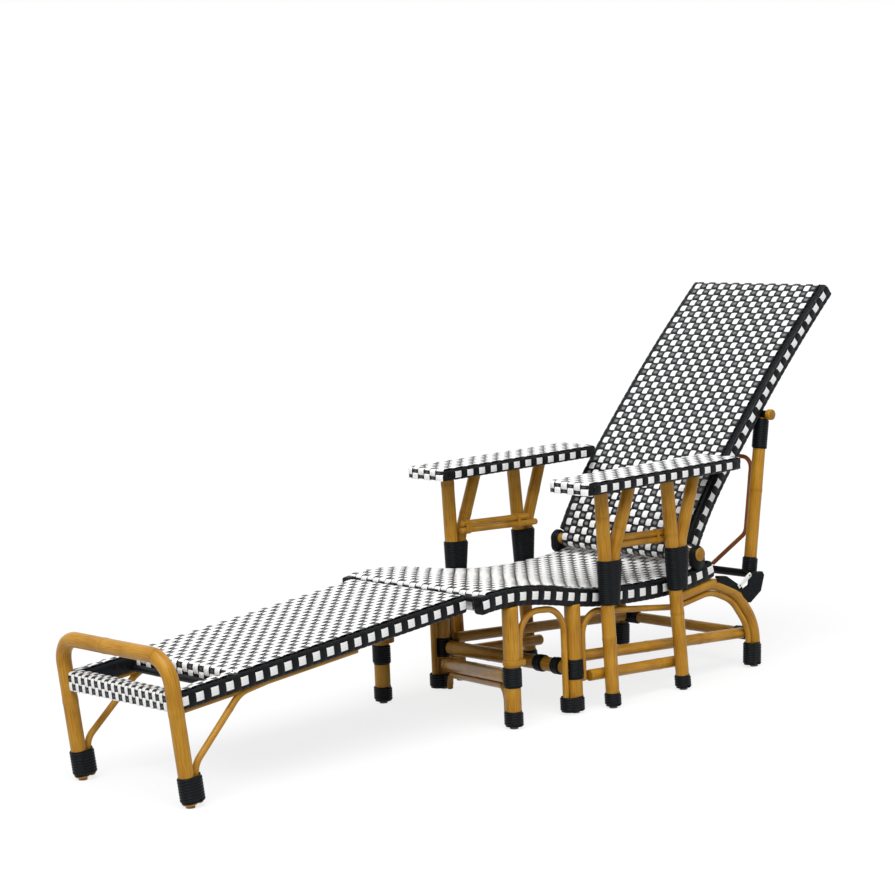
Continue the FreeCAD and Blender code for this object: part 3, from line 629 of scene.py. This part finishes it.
def edge_of(node, facing):
    """The line, in the side view, of the face of a CAD bar that looks a given way."""
    alike, least_step = 0.7, 1
    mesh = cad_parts[node].data
    facing = Vector(facing).normalized()
    found = set()
    for face in mesh.polygons:
        if face.normal.dot(facing) > alike:
            for corner in face.vertices:
                place = mesh.vertices[corner].co
                found.add((round((place.x - start_x) / MM, 1), round(place.z / MM, 1)))
    line = sorted(found)
    return Track([p for p, q in zip(line, line[1:] + [(math.inf, 0)]) if q[0] - p[0] > least_step])


def bulge(wave):
    """Height of a strip that passes over one and under one, from -1 to 1."""
    return np.tanh(2 * wave) / math.tanh(2)


def side_view_grid(place, normal, height, y):
    """Points at heights over a line of the side view."""
    x, z = (place[..., k] + normal[..., k] * height for k in (0, 1))
    return xyz(x, y, z)


def add_weave(work, track, marks, y0, y1, columns, half=0.455, dark_half=0.455, float_more=0.5,
              dark_rise=0.5, crown=0.7, shape=np.array):
    """White strips along the track and black ones across it, over one and under one, on a dark sheet.

    half and dark_half are half widths in cells, float_more lengthens the white floats, dark_rise lifts
    the black ones, the argument after dark_rise is the strength of the highlight painted on their
    crowns, and shape bends the whole.
    """
    lift, rise, white_round, black_round, steps = 1.4, 1.5, 0.5, 0.9, 6
    marks = np.asarray(marks, float)
    width = (y1 - y0) / columns
    cross = np.linspace(-1, 1, 5)
    count = len(marks) - 1
    s = np.interp(np.linspace(0, count, steps * count + 1), np.arange(count + 1), marks)
    rows = np.interp(s, marks, np.arange(count + 1))
    place, normal = track.read(s)
    place, normal = place[:, None], normal[:, None]
    work.add(shape(side_view_grid(place, normal, lift - sheet_depth, np.array([y0, y1]))), black)
    for j in range(columns):
        height = lift + rise * bulge(np.cos(math.pi * (rows - 0.5 - j)) + float_more)
        height = height[:, None] - white_round * cross[None, :] ** 2
        y = y0 + width * (j + 0.5) + width * half * cross
        work.add(shape(side_view_grid(place, normal, height, y)), white, tone=random.uniform(0.2, 0.9))
    columns_at = np.linspace(0, columns, steps * columns + 1)
    y = (y0 + width * columns_at)[:, None]
    for i, (s0, s1) in enumerate(zip(marks, marks[1:])):
        place, normal = track.read((s0 + s1) / 2 + cross * (s1 - s0) * dark_half)
        over = -bulge(np.cos(math.pi * (columns_at - 0.5 - i)))
        height = (lift + dark_rise * over)[:, None] - black_round * cross[None, :] ** 2
        # Painted highlight: a paler share on the crowns where the black strips pass over, carried to
        # the material in the ring attribute.
        highlight_share = crown * np.clip(over, 0, 1)[:, None] ** 2 * (1 - np.abs(cross)[None, :] ** 1.5)
        grid = side_view_grid(place[None, :], normal[None, :], height, y)
        work.add(shape(grid), woven, tone=random.uniform(0.1, 0.9), ring=highlight_share)


def even(start, end, pitch):
    """Marks from start to end in even steps of about the pitch."""
    return np.linspace(start, end, max(1, round((end - start) / pitch)) + 1)


# Wrapped rails


def bar_outline(width, height, radius):
    """Section of a rail as (out, up) points with their normals; the outer face has extra points."""
    points, normals = [], []
    for right, top, start in ((1, 1, 0), (-1, 1, 90), (-1, -1, 180), (1, -1, 270)):
        for angle in np.radians(start + np.linspace(0, 90, 4)):
            normal = np.array([math.cos(angle), math.sin(angle)])
            centre = np.array([right * (width / 2 - radius), top * (height / 2 - radius)])
            points.append(centre + normal * radius)
            normals.append(normal)
    reach = height / 2 - radius
    for up in np.linspace(-reach, reach, 11)[1:-1]:
        points.append(np.array([width / 2, up]))
        normals.append(np.array([1.0, 0.0]))
    return np.array(points), np.array(normals)


def along_side(track, depth, y, side):
    """Frames of a rail that follows a track of the side view: centre, out and up."""
    def frames(s):
        place, normal = track.read(s)
        up = xyz(normal[:, 0], 0, normal[:, 1])
        return xyz(place[:, 0], side * y, place[:, 1]) - up * depth, 0 * up + [0, side, 0], up
    return frames


def in_plan(track, z, side):
    """Frames of a rail that follows a track of the plan view."""
    def frames(s):
        place, normal = track.read(s)
        out = xyz(normal[:, 0], normal[:, 1] * side, 0)
        return xyz(place[:, 0], place[:, 1] * side, z), out, 0 * out + [0, 0, 1]
    return frames


def add_rail(work, frames, marks, width, height, strip_up=0.0, strip_h=19.0, strip_from=0,
             strip_to=None, radius=7.0):
    """A rail wrapped in black bands, with a white strip threaded over and under them outside."""
    band_over, band_under, band_grow = 1.5, -0.3, 0.3
    strip_level, strip_rise, strip_round = 0.7, 1.1, 0.5
    end_rings = [(1.0, -0.5), (0.97, 0.5), (0.8, 1.2), (0.0, 1.5)]
    outline, normals = bar_outline(width, height, radius)
    t = np.linspace(-1, 1, 6)
    outer = (normals[:, 0] > 0.99) * np.exp(-((outline[:, 1] - strip_up) / (strip_h * 0.52)) ** 8)
    strip_to = len(marks) - 1 if strip_to is None else strip_to
    for i, (s0, s1) in enumerate(zip(marks, marks[1:])):
        centre, out, up = frames((s0 + s1) / 2 + t * (s1 - s0) / 2)
        rise = band_over if i % 2 else band_under
        if not strip_from <= i < strip_to:
            rise = 0
        grow = rise * outer[None, :] + band_grow - t[:, None] ** 4
        o = outline[None, :, 0] + normals[None, :, 0] * grow
        u = outline[None, :, 1] + normals[None, :, 1] * grow
        grid = centre[:, None] + out[:, None] * o[..., None] + up[:, None] * u[..., None]
        work.add(grid, black, closed=True, tone=random.uniform(0.1, 0.9))
    for s in (marks[0], marks[-1]):
        centre, out, up = frames(np.array([s, s]))
        forward = np.cross(out[0], up[0])
        inner = frames(np.array([(marks[0] + marks[-1]) / 2]))[0][0]
        forward = forward * np.sign((centre[0] - inner) @ forward)
        section = out[0] * outline[:, :1] + up[0] * outline[:, 1:]
        grid = np.stack([centre[0] + forward * push + section * size for size, push in end_rings])
        work.add(grid, black, closed=True)
    if strip_to > strip_from:
        q = np.linspace(strip_from, strip_to, 6 * (strip_to - strip_from) + 1)
        centre, out, up = frames(np.interp(q, np.arange(len(marks)), marks))
        level = width / 2 + strip_level + strip_rise * bulge(np.cos(math.pi * (q - 0.5)))
        cross = np.linspace(-1, 1, 5)
        o = level[:, None] - strip_round * cross[None, :] ** 2
        u = np.broadcast_to(strip_up + strip_h / 2 * cross, o.shape)
        grid = centre[:, None] + out[:, None] * o[..., None] + up[:, None] * u[..., None]
        work.add(grid, white, tone=random.uniform(0.1, 0.5))


# Bindings


def add_winding(work, base, axis, radius, turns, side=(1, 0, 0), spread=0.0, top_spread=None,
                wire=cane, pitch=cane_pitch, lap=lap_pitch, flip=False, core=None, material=wound):
    """Flat cane wound around one pole, or around poles side by side, over a thin sleeve.

    It is as high as the turns at the pitch, laid in laps. spread is the distance between the poles, and
    core is the inner radius of the sleeve's closed ends.
    """
    sleeve_wall, lap_overlap, steps = 0.9, 0.54, 32
    base = np.array(base, float)
    height = turns * pitch
    laps = max(2, round(height / lap))
    pitch = height / laps
    up = unit(axis)
    out = np.array(side, float)
    out = unit(out - up * (out @ up))
    over = np.cross(up, out)
    reach = radius + wire / 2
    bend = math.pi * reach
    top_spread = spread if top_spread is None else top_spread

    def loop(share, distance, climb):
        """Points around the poles at a share of the height, and the way out from there."""
        flat = spread + (top_spread - spread) * np.clip(climb, 0, 1)
        run = (share % 1.0) * 2 * (bend + flat)
        sign = np.where(run < bend + flat, 1, -1)
        run = run % (bend + flat)
        angle = np.clip(run / bend, 0, 1) * math.pi - math.pi / 2
        slide = flat / 2 - np.clip(run - bend, 0, flat)
        away = (np.cos(angle)[:, None] * out + np.sin(angle)[:, None] * over) * sign[:, None]
        return out * (slide * sign)[:, None] + away * distance, away

    share = np.linspace(0, laps, steps * laps + 1)
    middle, away = loop(share, reach, share / laps)
    middle = base + middle + up * (share * pitch)[:, None]
    angle = full_turn(8)
    ring = away[:, None] * (np.cos(angle) * wire / 2)[None, :, None]
    coil = middle[:, None] + ring + up * (np.sin(angle) * pitch * lap_overlap)[None, :, None]
    tips = np.repeat(coil[[0, -1]].mean(1, keepdims=True), len(angle), 1)
    coil = np.concatenate([tips[:1], coil, tips[1:]])
    around = np.linspace(0, 1, steps + 1)[:-1]
    low, high = -0.5 * pitch, (laps + 0.5) * pitch
    rings = [(radius + sleeve_wall, low), (radius + sleeve_wall, high)]
    if core is not None:
        rings = [(core, low), *rings, (core, high)]
    sleeve = np.stack([base + loop(around, size, z / height)[0] + up * z for size, z in rings])
    for part in (coil, sleeve):
        work.add(part, material, closed=True, flip=flip)


def bindings(node, body, windings):
    """Windings of one CAD node, on both sides."""
    work = Patchwork()
    for winding in windings:
        for flip in (False, True):
            add_winding(work, **winding, flip=flip)
    work.piece(node + "_cane", body, [node], "black_cane")


def lashings(node, body, pair, rod, places, width, wall=strap_cane):
    """Cane wound around two rods across the part, at each of the places."""
    work = Patchwork()
    a, b = pair
    turns = round(width / strap_pitch)
    for y in places:
        base = ((a[0] + b[0]) / 2, y - turns * strap_pitch / 2, (a[1] + b[1]) / 2)
        add_winding(work, base, (0, 1, 0), rod / 2 + wall - strap_cane, turns, slant(a, b),
                    math.dist(a, b), wire=strap_cane, pitch=strap_pitch, lap=strap_lap, core=0.5)
    work.piece(node + "_cane", body, [node], "black_cane")


def wrap(x, y, z, axis, diameter, turns, **more):
    """A winding around a pole of the near side."""
    return dict(base=(x, -y, z), axis=axis, radius=diameter / 2, turns=turns, **more)


def all_bindings(back):
    upright = (0, 0, 1)
    posts = (front_post, rear_post)
    spread = thin_off + (thin_d - leg_d) / 2
    foot = foot_wrap_z
    feet = [wrap(front_x, leg_y, foot, upright, leg_d, 7),
            wrap(second_x - spread / 2, leg_y, foot, upright, leg_d, 7, spread=spread)]
    spread = rear_off + (thin_d - arch_d) / 2
    x = at_height(foot, *rear_leg) - spread / 2
    feet.append(wrap(x, leg_y, foot, slant(*rear_leg), arch_d, 12, spread=spread))
    feet += [wrap(at_height(foot, *post), post_y, foot, slant(*post), post_d, 6) for post in posts]
    bindings("foot_bindings", "seat_frame", feet)
    knees = [wrap(x, leg_y, z, upright, leg_d, 10, lap=knee_wrap_lap)
             for x, z in zip((front_x, second_x), knee_wrap_z)]
    x = at_height(rear_stretcher_z, *rear_leg)
    knees.append(wrap(x, rear_wrap_y, rear_stretcher_z, (0, 1, 0), rail_d, 9))
    bindings("knee_bindings", "seat_frame", knees)
    forks = []
    z0, z1 = fork_wrap_z
    for post in posts:
        low, high = at_height(z0, *post) + fork_meet / 2, at_height(z1, *post) + fork_spread / 2
        forks.append(wrap(low, post_y, z0, slant((low, z0), (high, z1)), post_d, 24, spread=fork_meet,
                          top_spread=fork_spread, lap=cane_pitch))
    bindings("fork_bindings", "seat_frame", forks)
    props = [wrap(at_height(z, bar, pivot), prop_y, z, slant(bar, pivot), prop_d, turns, lap=cane_pitch)
             for z, turns in prop_wraps]
    bindings("prop_bindings", "prop", props)
    spread = thin_d + brace_gap
    x = at_height(hoop_wrap_z, *hoop_leg) + spread / 2
    hoop = wrap(x, hoop_y, hoop_wrap_z, slant(*hoop_leg), hoop_d, 12, spread=spread)
    bindings("hoop_bindings", "leg_rest", [hoop])
    rod = back.place(bottom_rod_s, back_t / 2)
    lashings("hinge_straps", "backrest", (hinge, rod), hinge_d, (-strap_y, 0, strap_y), strap_w)
    rod = back.place(back.nearest(pivot), back_t / 2 + back_rod_drop)
    lashings("pivot_straps", "backrest", (pivot, rod), rod_d, (-strap_y, strap_y), strap_w)
    x, level_at = dock_strap_x
    head = (x, rest_z(level_at) - rest_h / 2)
    lashings("dock_straps", "leg_rest", (dock, head), dock_d, (-dock_strap_y, dock_strap_y), strap_w)
    under = (hinge[0], hinge[1] - lug_drop)
    lashings("hinge_lugs", "seat_frame", (hinge, under), hinge_d, (-lug_y, lug_y), lug_w, lug_wall)
    ties = Patchwork()
    for y in stretcher_ties_y:
        add_winding(ties, (second_x, y, stretcher_z), (0, 1, 0), stretcher_d / 2, 5)
    ties.piece("stretcher_ties", "seat_frame", [], "black_cane")
    golden_ties()


def golden_ties():
    """Honey cane around the arm rods at the posts, and around each front leg at the thin arch's end."""
    look = dict(wire=golden_cane, pitch=golden_pitch, lap=golden_pitch, material=honey)
    work = Patchwork()
    upper, lower = arm_ties()
    ahead = unit(np.array(lower[1]) - lower[0])
    middle = (np.array(upper[0]) + lower[0]) / 2
    front, rear = (at_height(tie_z, *post) - upper[0][0] for post in (front_post, rear_post))
    leg = (front_x + thin_d / 2, -leg_y, side_arch_foot + 2)
    for flip in (False, True):
        for run in (front + 24, front + 34, rear - 30):
            base = middle + ahead * run
            add_winding(work, base, ahead, tie_d / 2, 2, (0, 0, 1), tie_d + touch, flip=flip, **look)
        add_winding(work, leg, (0, 0, 1), leg_d / 2, 3, (1, 0, 0), thin_d + touch, flip=flip, **look)
    work.piece("golden_ties", "seat_frame", [], "rattan")


# The woven units


def panel(name, body, nodes, track, marks, reach, columns, **how):
    """A weave across the part, which stands for the named nodes."""
    work = Patchwork()
    add_weave(work, track, marks, -reach, reach, columns, **how)
    work.piece(name, body, nodes, "weave")


def borders(stem, body, track, depth, half, width, height, strip_up, strip_h=19.0, more=None):
    """The wrapped rails of a unit, near and far; more adds to each of them."""
    marks = even(0, track.length, rail_cell)
    for side, word in sides:
        work = Patchwork()
        frames = along_side(track, depth, half - width / 2, side)
        add_rail(work, frames, marks, width, height, strip_up, strip_h)
        if more:
            more(work, side)
        work.piece(stem + "_border_" + word, body, [stem + "_rail_" + word], "border")


def seat_unit():
    rail_w, rail_h, strip_up, fold, front_drop, rear_drop = 32, 42, 2, 8, 42, 36
    slat_shares, slat_depth, slat_half = (0.28, 0.53, 0.76), 22, 208
    top = edge_of("seat_rail_near", (0, 0, 1))
    nose = top.nearest((0, seat_front_z))
    field = top.part(nose, top.length).folded(fold, front_drop, rear_drop)
    nodes = ["seat_panel", "seat_front_rail", "seat_rear_rail"]
    panel("seat_weave", "seat_frame", nodes, field, even(0, field.length, cell), seat_half - 8, 22)
    slats = [across(top.place(share * top.length, slat_depth), slat_half) for share in slat_shares]
    pole("seat_slats", "seat_frame", slats, slat_d)
    borders("seat", "seat_frame", top, rail_h / 2 + strip_up, seat_half, rail_w, rail_h, strip_up)


def around_hinge(front):
    """The front face of the back, carried on around the hinge rod at its low end."""
    radius, blend, around = 19.5, 60.0, np.radians(range(110, 0, -11))
    place, normal = front.read(0.0)
    ahead = np.array([normal[1], -normal[0]])
    to_rod = np.array(hinge) - place
    start, proud = to_rod @ ahead, to_rod @ normal + radius
    line = [hinge + radius * (normal * math.cos(a) - ahead * math.sin(a)) for a in around]
    for s in np.linspace(start, blend, 16)[:-1]:
        share = (s - start) / (blend - start)
        on_face = front.read(s)[0] if s > 0 else place + ahead * s
        line.append(on_face + normal * proud * (1 - share * share * (3 - 2 * share)))
    return Track(line + list(front.read(np.linspace(blend, front.length, 100))[0]))


def back_unit(front):
    weave_half, fold, top_drop, strip_up, strip_h = 205, 6, 36, 6, 17
    field = around_hinge(front).folded(fold, 0, top_drop)
    # The back's black strips get the full painted highlight on their crowns.
    panel("back_weave", "backrest", ["back_panel", "back_top_bar"], field, even(0, field.length, cell),
          weave_half, 20, half=0.42, dark_half=0.47, float_more=-0.4, dark_rise=0.8, crown=1.0)
    borders("back", "backrest", front, back_t / 2 + 1, back_half, back_w, back_t - 2, strip_up, strip_h)


def rest_top(x0, x1, count):
    """The line of the leg rest's top between two places."""
    return Track([(x, rest_z(x)) for x in np.linspace(x0, x1, count)])


def rest_unit():
    drop, strip_up, weave_half, end_half, beside_slot = 38, 1, 187, 173, (166, 188)
    field = rest_top(slot_x, rest_head[0], 60).folded(8, drop, drop)
    nodes = ["rest_panel", "rest_slot_rail", "rest_head_rail"]
    panel("rest_weave", "leg_rest", nodes, field, even(0, field.length, rail_cell), weave_half, 20)
    whole = rest_top(rest_rail_x, rest_head[0], 60)
    beside = whole.part(0, whole.nearest((slot_x, rest_z(slot_x))) - 2)

    def weave_beside(work, side):
        low, high = sorted(side * y for y in beside_slot)
        add_weave(work, beside, even(0, beside.length, rail_cell), low, high, 2)

    borders("rest", "leg_rest", whole, rest_h / 2 + 1, rest_half, rest_w, rest_h - 2, strip_up,
            more=weave_beside)
    end = rest_top(end_x, end_x + end_w, 20).folded(6, drop, drop)
    edge = (end.length - end_w) / 2
    marks = np.concatenate([even(0, edge, 18), even(edge, edge + end_w, 15)[1:],
                            even(edge + end_w, end.length, 18)[1:]])
    panel("rest_end_weave", "leg_rest", ["rest_end_rail"], end, marks, end_half, 29, float_more=0.25)


def arm_units():
    corner, half_w, fold = 18, 12, 6
    middle_x = (arm_x[0] + arm_x[1]) / 2
    length = arm_x[1] - arm_x[0]
    top = Track([(x, arm_top - 1) for x in np.linspace(*arm_x, 40)]).folded(fold, arm_h - 2, arm_h - 2)
    edge = (top.length - length) / 2
    marks = np.concatenate([np.linspace(0, edge + 2, 3), even(edge + 2, edge + length - 2, cell)[1:-1],
                            np.linspace(edge + length - 2, top.length, 3)])

    def corners_in(grid):
        """Draws the ends of the outer columns in around the rounded corners."""
        result = grid.copy()
        to_edge = np.minimum(np.abs(grid[..., 1]) - arm_y[0], arm_y[1] - np.abs(grid[..., 1]))
        into_corner = np.clip(corner - to_edge, 0, corner)
        inset = corner - np.sqrt(corner ** 2 - into_corner ** 2)
        result[..., 0] = middle_x + (grid[..., 0] - middle_x) * (1 - inset / (length / 2))
        return result

    weave, border = Patchwork(), Patchwork()
    inner, outer = arm_y[0] + half_w, arm_y[1] - half_w
    x0, x1 = arm_x[0] + half_w, arm_x[1] - half_w
    middle_y = (inner + outer) / 2

    def plan(y):
        """Half of the frame in plan, around one long side."""
        line = route([(x0, middle_y, 0), (x0, y, 0), (x1, y, 0), (x1, middle_y, 0)], corner - half_w)
        return Track(spaced(line, np.linspace(0, runs(line)[-1], 200))[:, :2])

    for side in (-1, 1):
        low, high = sorted((side * (arm_y[0] + 4), side * (arm_y[1] - 4)))
        add_weave(weave, top, marks, low, high, 6, shape=corners_in)
        for y in (inner, outer):
            track = plan(y)
            if y == inner:
                track = Track(track.points[::-1])
            frames = in_plan(track, arm_under + arm_h / 2 - 1, side)
            bands = even(0, track.length, rail_cell)
            add_rail(border, frames, bands, 2 * half_w, arm_h - 2, strip_h=16.0, strip_from=3,
                     strip_to=len(bands) - 4, radius=6.0)
    weave.piece("arm_weave", "seat_frame", ["arm_panels"], "weave")
    border.piece("arm_border", "seat_frame", ["arm_frames"], "border")


seat_poles()
prop_poles()
rest_poles()
back_front = edge_of("back_rail_near", (-0.7, 0, 0.7))
back_poles(back_front)
all_bindings(back_front)
seat_unit()
back_unit(back_front)
rest_unit()
arm_units()


# Nodes that keep their own solids: racks and glides


def dress(node, material, bevel):
    """Gives a CAD node a material and soft edges."""
    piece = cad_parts[node]
    piece.data.materials.clear()
    piece.data.materials.append(material)
    soft = piece.modifiers.new("soft_edges", "BEVEL")
    soft.width = bevel * MM
    soft.segments = 3
    soft.limit_method = "ANGLE"


def plain(name, dark, light, scale, roughness, specular=0.5):
    """Smooth varnished or moulded surface with fine changes of tone."""
    grain_depth = 0.0003
    s = Shader(name, roughness, specular)
    place = s.node("ShaderNodeTexCoord").outputs["Object"]
    tone = s.noise(place, (1, 1, 1), scale)
    rough = s.math("ADD", s.math("MULTIPLY", tone, 0.2), roughness - 0.1)
    return s.finish(s.ramp(tone, [(0.35, dark), (0.65, light)]), rough, tone, grain_depth, 0.3)


dress("racks", plain("black_rack", (0.004, 0.005, 0.006), (0.011, 0.012, 0.014), 120.0, 0.4, 0.05), 4)
dress("seat_glides", plain("grey_glide", (0.10, 0.095, 0.085), (0.2, 0.19, 0.17), 160.0, 0.4), 2)
dress("rest_glides", plain("brown_glide", (0.22, 0.10, 0.02), (0.42, 0.21, 0.05), 160.0, 0.4), 2)


def rack_stays():
    """A white stay with two pins, from the cheek of each rack down to its hump."""
    look = plain("white_stay", (0.8, 0.8, 0.78), (0.92, 0.92, 0.91), 200.0, 0.35)
    pin = plain("dark_pin", (0.02, 0.02, 0.02), (0.06, 0.06, 0.06), 300.0, 0.3)
    top, low = np.array([907.0, 239.0]), np.array([858.0, 213.0])
    thick, wide, edge, corners = 3.0, 12.0, 1.2, 16
    sections = [(0, 0.3), (0.02, 0.85), (0.05, 1), (0.95, 1), (0.98, 0.85), (1, 0.3)]
    dome = [(2.4, 0.0), (2.2, 0.8), (1.4, 1.3), (0.05, 1.5)]
    ahead = unit(low - top)
    side = np.array([-ahead[1], ahead[0]])
    outline = bar_outline(thick, wide, edge)[0][:corners]
    out = -(rack_out + thick / 2 + outline[:, 0])
    stay = []
    for share, size in sections:
        flat = top + (low - top) * share + side * outline[:, 1:] * size
        stay.append(xyz(flat[:, 0], out, flat[:, 1]))
    angle = full_turn(12)
    grids = [(np.array(stay), look)]
    for share in (0.12, 0.88):
        x, z = top + (low - top) * share
        rings = [xyz(x + r * np.cos(angle), -(rack_out + thick + h), z + r * np.sin(angle))
                 for r, h in dome]
        grids.append((np.array(rings), pin))
    work = Patchwork()
    for flip in (False, True):
        for grid, material in grids:
            work.add(grid, material, closed=True, flip=flip)
    work.piece("rack_stays", "seat_frame", [], "border")


rack_stays()


# Stage: floor, light and camera


def seen_rays(tree):
    """1 for rays that show in the picture, also by gloss or glass, and 0 for light on the part."""
    rays = tree.nodes.new("ShaderNodeLightPath").outputs
    seen = rays["Is Camera Ray"]
    for kind in ("Is Glossy Ray", "Is Transmission Ray"):
        either = tree.nodes.new("ShaderNodeMath")
        either.operation = "MAXIMUM"
        tree.links.new(seen, either.inputs[0])
        tree.links.new(rays[kind], either.inputs[1])
        seen = either.outputs[0]
    return seen


def floor():
    """A pale floor that looks nearly white to the camera and throws less light on the part."""
    size, glow_share = 30.0, 0.8
    s = Shader("pale_floor", 0.9, 0.0)
    tree = s.tree
    seen = seen_rays(tree)
    s.feed(s.out, "Base Color", s.mix(seen, (0.6, 0.6, 0.6), (0.97, 0.97, 0.97)))
    glow = s.node("ShaderNodeEmission", Color=(1, 1, 1, 1), Strength=1.0)
    mixed = tree.nodes.new("ShaderNodeMixShader")
    s.feed(mixed, 0, s.math("MULTIPLY", seen, glow_share))
    s.feed(mixed, 1, s.out.outputs[0])
    s.feed(mixed, 2, glow.outputs[0])
    s.feed(tree.nodes["Material Output"], 0, mixed.outputs[0])
    mesh = bpy.data.meshes.new("floor")
    corners = [(-size, -size, 0), (size, -size, 0), (size, size, 0), (-size, size, 0)]
    mesh.from_pydata(corners, [], [(0, 1, 2, 3)])
    mesh.materials.append(s.material)
    put("floor", mesh)


def sky():
    """A white studio, dimmer as a light than it looks."""
    light, seen_as = 0.38, 1.0
    world = bpy.data.worlds.new("studio")
    bpy.context.scene.world = world
    world.use_nodes = True
    tree = world.node_tree
    ground = tree.nodes["Background"]
    ground.inputs["Color"].default_value = (1, 1, 1, 1)
    strength = tree.nodes.new("ShaderNodeMapRange")
    tree.links.new(seen_rays(tree), strength.inputs["Value"])
    strength.inputs["To Min"].default_value = light
    strength.inputs["To Max"].default_value = seen_as
    tree.links.new(strength.outputs[0], ground.inputs["Strength"])


def sun(name, direction, strength, spread):
    lamp = bpy.data.lights.new(name, "SUN")
    lamp.energy = strength
    lamp.angle = math.radians(spread)
    put(name, lamp).rotation_euler = Vector(direction).to_track_quat("-Z", "Y").to_euler()


def camera():
    """The photo's camera, as fitted to the part."""
    place = Vector((-4.19396, -4.40163, 1.36415))
    yaw, pitch, roll = 0.81922, 0.12108, -0.04067
    level_part = math.cos(pitch)
    forward = Vector((math.cos(yaw) * level_part, math.sin(yaw) * level_part, -math.sin(pitch)))
    right = Vector((math.sin(yaw), -math.cos(yaw), 0))
    up = right.cross(forward)
    level = right * math.cos(roll) + up * math.sin(roll)
    upright = up * math.cos(roll) - right * math.sin(roll)
    made = put("camera", bpy.data.cameras.new("camera"))
    made.data.sensor_width = 36.0
    made.data.lens = 104.604
    turn = Matrix((level, upright, -forward)).transposed().to_4x4()
    made.matrix_world = Matrix.Translation(place) @ turn
    bpy.context.scene.camera = made


floor()
sky()
sun("key", (0.4, 0.4, -1.0), 2.9, 50)
sun("fill", (0.8, -0.3, -0.6), 0.25, 60)
camera()
bpy.context.scene.view_settings.view_transform = "Standard"
